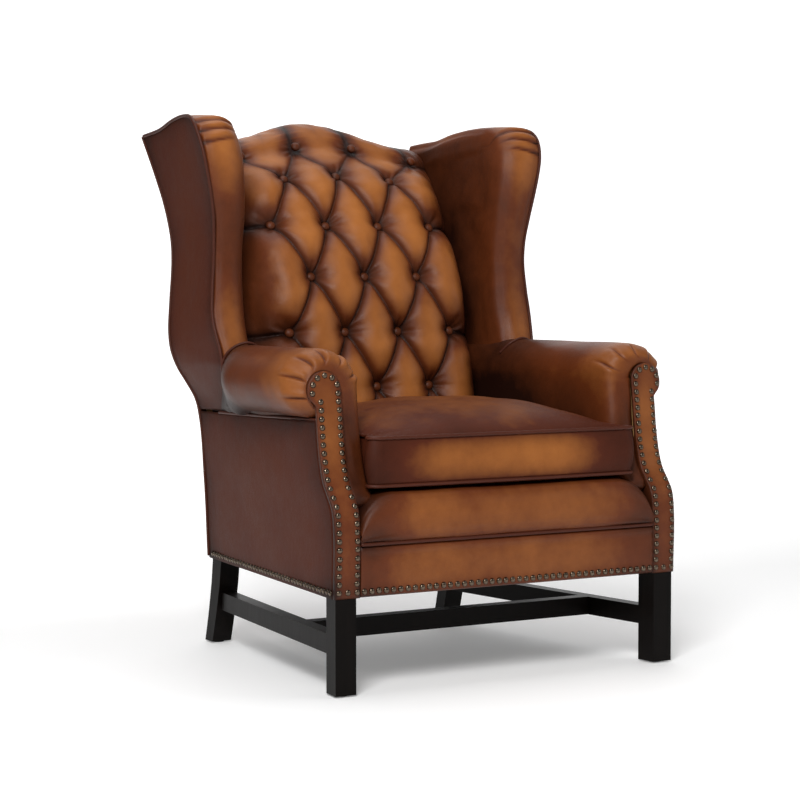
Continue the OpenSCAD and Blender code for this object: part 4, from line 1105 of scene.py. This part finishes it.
class ARMCHAIR_OT_outside(bpy.types.Operator):
    """Builds the plain outside panels of the arms, wings and back"""
    bl_idname = "armchair.outside"
    bl_label = "Outside panels"

    def execute(self, context):
        both_sides(self.wing_panel)
        both_sides(self.arm_panel)
        self.back_panel()
        return {"FINISHED"}

    # shade(u, v) sets a panel's tone: lighter in the middle, with painted shade towards the edges where the
    # panel dips to its seams.
    def panel(self, name, node, grid, bulge, seed, inside, shade, sign=1):
        rows, cols = grid.shape[:2]
        v = np.linspace(0, 1, rows)[:, None]
        u = np.linspace(0, 1, cols)[None]
        dome_in = (4 * u * (1 - u) * 4 * v * (1 - v)) ** 0.7
        normal = turned_to(grid_normals(grid), grid - np.asarray(inside))
        uneven = 0.0010 * ripple(grid, 0.16, seed) * dome_in ** 0.5
        grid = grid + normal * (bulge * dome_in + uneven)[..., None]
        soft_piece(name, node, sided(place(grid), sign), grid_quads(rows, cols),
                   shade(u, v) + 0 * grid[..., 0], 0.0028, sided(place(np.array(inside)), sign),
                   "panel leather")

    def wing_panel(self, sign, side):
        edge = wing_outline(400)
        split = np.argmin(np.abs(edge[:, 2] - 1.121) + (edge[:, 1] > 0.6) * 9)
        left = spline(np.concatenate([PANEL_FOOT, edge[:split + 1]]), 110) + [0, 0.004, 0]
        top = spline(np.concatenate([edge[split:], [REAR_EDGE[-1]]]), 60) - [0, 0, 0.001]
        top[0] = left[-1]
        right = spline(REAR_EDGE, 110)
        bottom = np.linspace(left[0], right[0], 60)
        top[-1] = right[-1]
        grid = coons(bottom, top, left, right)
        self.panel("outside_wing_" + side + "_leather", "outside_wing_" + side, grid, 0.004, 61 + sign,
                   (0.30, 0.68, 0.85),
                   lambda u, v: 0.46 - 0.30 * np.abs(2 * u - 1) ** 3 - 0.25 * np.abs(2 * v - 1) ** 6, sign)

    def arm_panel(self, sign, side):
        z = np.linspace(BASE_Z, arm_seam_z(0.07), 60)
        left = np.stack([BASE_HW + 0 * z, facing_y(z) + FACING_T + 0.001, z], 1)
        left[:, 0] -= 0.001
        right = spline([(0.320, 0.700, BASE_Z), (0.3225, 0.710, 0.35), (0.3290, 0.724, arm_seam_z(0.72))], 60)
        bottom = np.linspace(left[0], right[0], 90)
        top = np.linspace(left[-1], right[-1], 90)
        grid = coons(bottom, top, left, right)
        self.panel("outside_arm_" + side + "_leather", "outside_arm_" + side, grid, 0.005, 71 + sign,
                   (0.20, 0.35, 0.36),
                   lambda u, v: 0.50 - 0.30 * np.abs(2 * u - 1) ** 4 - 0.30 * np.abs(2 * v - 1) ** 5, sign)

    def back_panel(self):
        edge = spline([(0.320, 0.700, BASE_Z), (0.3225, 0.710, 0.35)] + REAR_EDGE, 110)
        cols = 81
        u = np.linspace(-1, 1, cols)[None]
        x = edge[:, 0][:, None] * u
        top = lerp(crest_z(x) - 0.036, REAR_EDGE[-1][2], smooth((np.abs(u) - 0.80) / 0.20))
        rise = smooth((edge[:, 2][:, None] - 0.95) / 0.153)
        z = edge[:, 2][:, None] + (top - REAR_EDGE[-1][2]) * rise
        grid = np.stack([x, edge[:, 1][:, None] + 0 * u, z], -1)
        self.panel("outside_back_leather", "outside_back", grid, 0.004, 81, (0, 0.3, 0.7),
                   lambda a, b: 0.48 - 0.28 * np.abs(2 * a - 1) ** 4 - 0.25 * np.abs(2 * b - 1) ** 5)


# ---- front of the seat ----

BORDER_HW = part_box("front_border")[1][0]


class ARMCHAIR_OT_front(bpy.types.Operator):
    """Builds the front border, the rolled lip over it and the seat deck"""
    bl_idname = "armchair.front"
    bl_label = "Seat front and deck"

    def execute(self, context):
        self.border()
        self.lip()
        self.deck()
        return {"FINISHED"}

    def border(self):
        t = np.linspace(-1, 1, 121)
        levels = spline([(0.008, 0.0), (0.0015, 0.0), (0.0, 0.03), (-0.002, 0.25), (-0.003, 0.5),
                         (-0.002, 0.78), (0.001, 0.97), (0.008, 1.0)], 26)
        x, k = np.meshgrid(t * BORDER_HW, np.arange(len(levels)))
        y, v = levels[k, 0], levels[k, 1]
        grid = np.stack([x, y, lerp(BASE_Z, BORDER_TOP, v)], -1)
        grid[..., 1] += 0.0008 * ripple(grid, 0.09, 91) * (y < 0)
        # Painted shade towards the top and bottom edges and towards the ends beside the arms; lighter across
        # the middle.
        shade = 0.64 - 0.30 * np.abs(2 * v - 1) ** 3 - 0.26 * smooth((np.abs(x) - 0.22) / 0.13)
        soft_piece("front_border_leather", "front_border", place(grid), grid_quads(*grid.shape[:2]),
                   shade, 0.003, (0, FRONT_Y + 0.05, 0.24))

    def lip(self):
        x = BORDER_HW * np.sin(np.linspace(-1, 1, 141) * math.pi / 2)
        end = np.clip((np.abs(x) - (BORDER_HW - 0.085)) / 0.085, 0, 1)
        height = (DECK_Z + 0.001 - BORDER_TOP) * np.maximum(np.sqrt(1 - 0.93 * end ** 2.4), 0.02)
        section = spline([(0.010, 0.0), (0.0005, 0.02), (-0.0070, 0.20), (-0.0090, 0.42), (-0.0070, 0.66),
                          (0.003, 0.88), (0.018, 0.985), (0.038, 1.0), (0.060, 0.99)], 40)
        grid = np.empty((len(section), len(x), 3))
        for k, (y, v) in enumerate(section):
            grid[k, :, 0] = x
            grid[k, :, 1] = y + 0.006 * end ** 2 * (1 - v)
            grid[k, :, 2] = BORDER_TOP + 0.001 + height * v
        normal = turned_to(grid_normals(grid), [0, -1, 1])
        grid += normal * (0.0010 * ripple(grid * [1, 1, 2], 0.10, 95))[..., None]
        quads = grid_quads(*grid.shape[:2])
        hold = np.zeros(grid.shape[:2])
        hold[:2] = hold[-2:] = 1
        hold[:, :2] = hold[:, -2:] = 1
        points = inflate(place(grid), quads, hold, 2.5, 8)
        v = section[:, 1][:, None]
        # Painted highlight along the lip's roll; painted shade towards its seams and its ends beside the
        # arms.
        shade = 0.66 - 0.34 * np.abs(1.7 * v - 0.9) ** 2.5 - 0.34 * smooth((np.abs(x)[None] - 0.20) / 0.14)
        soft_piece("seat_lip_leather", "seat_lip", points, quads, shade, 0.003,
                   (0, FRONT_Y + 0.05, 0.33))

    def deck(self):
        low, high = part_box("seat_deck")
        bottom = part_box("seat_foam")[0][2]
        sx, sy = np.meshgrid(eased(61), eased(61))
        x = sx * high[0]
        y = lerp(low[1], high[1], (sy + 1) / 2)
        crown = (1 - sx ** 4) * (1 - sy ** 4)
        uneven = 0.0008 * ripple(np.stack([x, y, 0 * x], -1), 0.1, 9)
        upper = np.stack([x, y, high[2] - 0.006 + 0.006 * crown + uneven], -1)
        rim = rim_walk(upper)
        count, levels = len(rim), 9
        index = rim_walk(np.arange(61 * 61).reshape(61, 61))
        rings = [index]
        verts = [upper.reshape(-1, 3)]
        for k in range(1, levels):
            t = k / (levels - 1)
            ring = rim.copy()
            ring[:, 2] = lerp(rim[:, 2], bottom + 0.001, t)
            verts.append(ring)
            rings.append(61 * 61 + (k - 1) * count + np.arange(count))
        wall = [np.stack([a, np.roll(a, -1), np.roll(b, -1), b], 1) for a, b in zip(rings[:-1], rings[1:])]
        quads = np.concatenate([grid_quads(61, 61)] + wall)
        piece = make_piece("seat_deck_cloth", np.concatenate(verts), quads, finish("deck cloth"),
                           replaces=("seat_deck", "seat_foam"), thick=0.002,
                           inside=(0, FRONT_Y + 0.3, 0.33))


# ---- facings, nails and welts ----

FACING_W = 0.056


def facing_half(z):
    """Inner and outer x of the facing at a height."""
    inner, outer = BASE_HW - FACING_W, BASE_HW - 0.0008
    off = np.clip(HEAD_R ** 2 - (z - HEAD_Z) ** 2, 0, None) ** 0.5
    in_head = z > HEAD_Z - HEAD_R * 0.45
    low = np.where(in_head, np.where(z < HEAD_Z, np.minimum(inner, HEAD_X - off), HEAD_X - off), inner)
    high = np.where(in_head, HEAD_X + off, outer)
    neck = smooth((z - (HEAD_Z - 0.045)) / 0.030)
    high = np.where(z < HEAD_Z, lerp(outer, np.maximum(HEAD_X + off, outer), neck), high)
    return low, high


class ARMCHAIR_OT_facings(bpy.types.Operator):
    """Builds the padded facings on the arm fronts"""
    bl_idname = "armchair.facings"
    bl_label = "Arm facings"

    def execute(self, context):
        both_sides(self.facing)
        return {"FINISHED"}

    def facing(self, sign, side):
        top = HEAD_Z + HEAD_R
        z = np.concatenate([np.linspace(BASE_Z, HEAD_Z, 90)[:-1],
                            HEAD_Z + HEAD_R * np.sin(np.linspace(0, math.pi / 2, 26))])
        low, high = facing_half(z)
        t = eased(23, 0.9)
        grid = np.empty((len(z), len(t) + 2, 3))
        for k, s in enumerate(t):
            grid[:, k + 1, 0] = lerp(low, high, (s + 1) / 2)
            edge = np.minimum(1 - abs(s), np.clip((top - z) / 0.02, 0, 1))
            edge = np.minimum(edge, np.clip((z - BASE_Z) / 0.01, 0, 1))
            rounded = np.sqrt(1 - (1 - np.clip(edge / 0.4, 0, 1)) ** 2)
            grid[:, k + 1, 1] = facing_y(z) + 0.0015 - 0.0035 * rounded
            grid[:, k + 1, 2] = z
        for k, src in ((0, 1), (-1, -2)):
            grid[:, k] = grid[:, src]
            grid[:, k, 1] += FACING_T * 0.8
        grid[:, 0, 1] += 0.044 * (1 - smooth((z - 0.42) / 0.05))
        grid[:, 0, 0] += 0.0015
        across = np.concatenate(([-1], t, [1]))[None]
        # Painted shade on the rounded edges and towards the foot; painted highlight in a band about seven
        # tenths up, where the facing leans back to face upward.
        height = ((z - BASE_Z) / (top - BASE_Z))[:, None]
        shade = (0.50 - 0.34 * np.abs(across) ** 3 - 0.16 * smooth((0.20 - height) / 0.2)
                 + 0.16 * bump(height, 0.70, 0.22))
        soft_piece("arm_facing_" + side + "_leather", "arm_facing_" + side, sided(place(grid), sign),
                   grid_quads(*grid.shape[:2]), shade, 0.002, (sign * 0.372, FRONT_Y + 0.12, 0.40))


NAIL_PITCH = 0.016
NAIL_Z = BASE_Z + 0.012


class ARMCHAIR_OT_nails(bpy.types.Operator):
    """Sets the domed nail heads along the base and round the facings"""
    bl_idname = "armchair.nails"
    bl_label = "Nails"

    def head(self, spot, out, draw):
        out = np.asarray(out, float) + draw.normal(size=3) * 0.035
        jitter = draw.normal(size=3) * 0.00025
        return dome(np.asarray(spot) + jitter, out, sizes().nail, 0.0040, 14, 5, 0.5)

    def rows(self, name, node, heads):
        verts, quads = joined([(v, q) for v, q, _ in heads])
        shade = np.concatenate([s for _, _, s in heads])
        make_piece(name, place(verts), quads, finish("nail"), replaces=(node,),
                   shade=shade)

    def execute(self, context):
        draw = np.random.RandomState(5)
        heads = []
        count = int(BORDER_HW / NAIL_PITCH)
        for k in range(-count, count + 1):
            heads.append(self.head((k * NAIL_PITCH, -0.0014, NAIL_Z), (0, -1, 0), draw))
        lean = 0.080 / BASE_D
        for sign in (-1, 1):
            for k in range(42):
                y = 0.016 + k * NAIL_PITCH
                heads.append(self.head((sign * (BASE_HW - lean * (y - 0.009) + 0.0004), y, NAIL_Z),
                                       (sign, lean, 0), draw))
        self.rows("border_nail_heads", "border_nails", heads)
        heads = []
        arc = HEAD_R - 0.0085
        for sign in (-1, 1):
            spots = []
            top_z = HEAD_Z - 0.022
            rows = int((top_z - NAIL_Z) / NAIL_PITCH)
            for k in range(rows + 1):
                z = NAIL_Z + k * (top_z - NAIL_Z) / rows
                spots += [(BASE_HW - FACING_W + 0.0085, z), (BASE_HW - 0.009, z)]
            spots.append((BASE_HW - FACING_W / 2, NAIL_Z))
            for k in range(7):
                a = math.radians(192 - 204 * k / 6)
                spots.append((HEAD_X + arc * math.cos(a), HEAD_Z + arc * math.sin(a)))
            for x, z in spots:
                slope = float(facing_y(z + 0.004) - facing_y(z - 0.004)) / 0.008
                y = float(facing_y(z)) - 0.0012
                heads.append(self.head((sign * x, y, z), (0, -1, slope), draw))
        self.rows("facing_nail_heads", "facing_nail_rows", heads)
        heads = []
        for k in range(-19, 20):
            heads.append(self.head((k * NAIL_PITCH, 0.7012, NAIL_Z), (0, 1, 0), draw))
        self.rows("rear_nail_heads", "rear_nails", heads)
        return {"FINISHED"}


class ARMCHAIR_OT_welts(bpy.types.Operator):
    """Runs the welts along the wings, under the arm rolls, over the border and down the back's corners"""
    bl_idname = "armchair.welts"
    bl_label = "Welts"

    def welt(self, name, route, node=None, radius=None):
        points, quads = tube(place(route), radius or sizes().welt, sizes().sides)
        make_piece(name, points, quads, finish("welt leather"), replaces=(node,) if node else (),
                   shade=np.full(len(points), 0.42))

    def execute(self, context):
        both_sides(self.side_welts)
        x = np.linspace(-BORDER_HW, BORDER_HW, 120)
        route = np.stack([x, -0.0022 + 0 * x, BORDER_TOP + 0.001 + 0 * x], 1)
        self.welt("front_welt_leather", route, "front_welt")
        return {"FINISHED"}

    def side_welts(self, sign, side):
        edge = wing_outline(260)
        out = np.stack([0.0012 + 0 * edge[:, 0], -0.0005 + 0 * edge[:, 0], 0 * edge[:, 0]], 1)
        foot = spline(PANEL_FOOT, 40)[:-1] + [0.002, 0, 0]
        self.welt("wing_welt_" + side + "_leather", sided(np.concatenate([foot, edge + out]), sign),
                  "wing_welt_" + side)
        over = spline([(0.3865, 0.4985, 0.616), (0.3790, 0.4900, 0.636), (0.3620, 0.4790, 0.6520),
                       (0.3400, 0.4720, 0.6575), (0.3150, 0.4780, 0.6480), (0.2960, 0.4950, 0.6250)], 60)
        self.welt("wing_foot_welt_" + side + "_leather", sided(over, sign), radius=0.003)
        y = np.linspace(0.078, 0.60, 80)
        x = lerp(BASE_HW, 0.3295, (y - 0.01) / 0.715) + 0.001
        route = np.stack([x, y, arm_seam_z(y) + 0.001], 1)
        self.welt("arm_welt_" + side + "_leather", sided(route, sign), "arm_welt_" + side)
        corner = spline([(0.3205, 0.700, BASE_Z + 0.004), (0.3230, 0.710, 0.35)] + REAR_EDGE, 160)
        self.welt("corner_welt_" + side + "_leather", sided(corner + [0.0005, 0.001, 0], sign), radius=0.003)


# ---- timber, hidden frame and stage ----

CARRIED_OVER = (
    ("front_leg_left front_leg_right rear_leg_left rear_leg_right side_stretcher_left side_stretcher_right "
     "cross_stretcher", "dark wood", 0.0012),
    ("front_rail rear_rail side_rail_left side_rail_right corner_blocks back_post_left back_post_right "
     "arm_post_left arm_post_right arm_rail_left arm_rail_right wing_post_left wing_post_right "
     "wing_top_rail_left wing_top_rail_right crest_rail lower_back_rail", "frame wood", 0.0008),
    ("foot_glides", "glide", 0.0006),
    ("corner_screws seat_springs spring_clips", "steel", 0.0),
    ("back_webbing", "webbing", 0.0),
    ("dust_cover", "dust cloth", 0.0))


class ARMCHAIR_OT_timber(bpy.types.Operator):
    """Finishes the legs and stretchers, and the frame, springs and cloth inside"""
    bl_idname = "armchair.timber"
    bl_label = "Legs and frame"

    def execute(self, context):
        for names, look, edge in CARRIED_OVER:
            for node in names.split():
                refinish(node, look, edge)
        return {"FINISHED"}


# each light: its name, place, aim, size and power
LIGHTS = (("key", (-2.6, -3.2, 3.4), (0.0, 0.0, 0.6), 1.5, 185),
          ("fill", (3.4, -2.6, 2.0), (0.0, 0.0, 0.6), 2.4, 20),
          ("top", (0.0, 0.4, 4.2), (0.0, 0.0, 0.5), 2.6, 60))
SKY = 0.18
LENS_MM = 99.68
LENS_SHIFT = -0.0049
CAMERA_SPOT = (-2.4092, -3.6079, 0.7919)
CAMERA_TURN = (86.935, 0, -30.8175)
FLOOR_FRONT = -40.0
FLOOR_BACK = 3.2
WALL_CURVE = 2.5
WALL_TOP = 9.0


class ARMCHAIR_OT_stage(bpy.types.Operator):
    """Sets the pale floor, the studio lights and the camera"""
    bl_idname = "armchair.stage"
    bl_label = "Stage"

    def execute(self, context):
        scene = context.scene
        self.floor()
        for lamp in LIGHTS:
            self.light(*lamp)
        world = bpy.data.worlds.new("studio")
        world.use_nodes = True
        sky = world.node_tree.nodes["Background"]
        sky.inputs["Color"].default_value = (1, 1, 1, 1)
        sky.inputs["Strength"].default_value = SKY
        scene.world = world
        lens = bpy.data.cameras.new("camera")
        lens.lens = LENS_MM
        lens.shift_y = LENS_SHIFT
        camera = bpy.data.objects.new("camera", lens)
        camera.location = place(CAMERA_SPOT)
        camera.rotation_euler = [math.radians(turn) for turn in CAMERA_TURN]
        scene.collection.objects.link(camera)
        scene.camera = camera
        scene.view_settings.view_transform = "Standard"
        return {"FINISHED"}

    def floor(self):
        material, paint = start_material("studio floor")
        where = paint.node("ShaderNodeTexCoord", {}, {}, "Object")
        tone = tuple(colours().floor)
        base = paint.node("ShaderNodeValToRGB", {"stops": [(0, tuple(0.985 * c for c in tone)), (1, tone)]},
                          {0: noise(paint, where, 0.8)}, "Color")
        # The floor and its curved backdrop glow though they are no lamp: faintly near the chair, fully white
        # towards the back wall.
        depth = paint.node("ShaderNodeSeparateXYZ", {}, {0: where}, "Y")
        glow = paint.node("ShaderNodeValToRGB", {"stops": [(0, (0.22,) * 3), (1, (1.0,) * 3)]},
                          {0: (depth - 0.6) * 0.45}, "Color")
        finish_material(paint, paint.node("ShaderNodeBsdfPrincipled", {}, {
            "Base Color": base, "Roughness": 0.7, "Emission Color": glow, "Emission Strength": 0.75}))
        turn = np.linspace(0, math.pi / 2, 14)[1:]
        run = np.concatenate([[FLOOR_FRONT, FLOOR_BACK], FLOOR_BACK + WALL_CURVE * np.sin(turn),
                              [FLOOR_BACK + WALL_CURVE]])
        rise = np.concatenate([[0.0, 0.0], WALL_CURVE * (1 - np.cos(turn)), [WALL_TOP]])
        x = np.where(rise[:, None] > 0, np.linspace(0, 12, 9), np.linspace(-12, 12, 9))
        grid = np.stack(np.broadcast_arrays(x, run[:, None], rise[:, None]), -1)
        mesh = bpy.data.meshes.new("floor")
        mesh.from_pydata(grid.reshape(-1, 3).tolist(), [], grid_quads(*grid.shape[:2]).tolist())
        mesh.shade_smooth()
        mesh.materials.append(material)
        floor = bpy.data.objects.new("floor", mesh)
        bpy.context.scene.collection.objects.link(floor)

    def light(self, name, spot, aim, size, power):
        lamp = bpy.data.lights.new(name, "AREA")
        lamp.size = size
        lamp.energy = power
        stand = bpy.data.objects.new(name, lamp)
        ahead = np.subtract(aim, spot)
        flat = math.hypot(ahead[0], ahead[1])
        stand.location = spot
        stand.rotation_euler = (math.atan2(flat, -ahead[2]), 0, math.atan2(-ahead[0], ahead[1]))
        bpy.context.scene.collection.objects.link(stand)


class ARMCHAIR_PT_panel(bpy.types.Panel):
    """Lists the chair's operators and sizes"""
    bl_label = "Wing Armchair"
    bl_idname = "ARMCHAIR_PT_panel"
    bl_space_type = "VIEW_3D"
    bl_region_type = "UI"
    bl_category = "Armchair"

    def draw(self, context):
        for operator in OPERATORS:
            self.layout.operator(operator.bl_idname)
        for group in (context.scene.armchair_sizes, context.scene.armchair_colours):
            for name in group.__annotations__:
                self.layout.prop(group, name)


OPERATORS = (ARMCHAIR_OT_stage, ARMCHAIR_OT_timber, ARMCHAIR_OT_back, ARMCHAIR_OT_cushion, ARMCHAIR_OT_arms,
             ARMCHAIR_OT_wings, ARMCHAIR_OT_outside, ARMCHAIR_OT_front, ARMCHAIR_OT_facings,
             ARMCHAIR_OT_nails, ARMCHAIR_OT_welts)
CLASSES = (ARMCHAIR_PG_sizes, ARMCHAIR_PG_colours) + OPERATORS + (ARMCHAIR_PT_panel,)


def register():
    for cls in CLASSES:
        bpy.utils.register_class(cls)
    bpy.types.Scene.armchair_sizes = PointerProperty(type=ARMCHAIR_PG_sizes)
    bpy.types.Scene.armchair_colours = PointerProperty(type=ARMCHAIR_PG_colours)


def unregister():
    del bpy.types.Scene.armchair_colours
    del bpy.types.Scene.armchair_sizes
    for cls in reversed(CLASSES):
        bpy.utils.unregister_class(cls)


def main():
    register()
    for operator in OPERATORS:
        group, name = operator.bl_idname.split(".")
        if getattr(getattr(bpy.ops, group), name)() != {"FINISHED"}:
            raise RuntimeError("the step " + operator.bl_label + " did not finish")


if __name__ == "__main__":
    main()
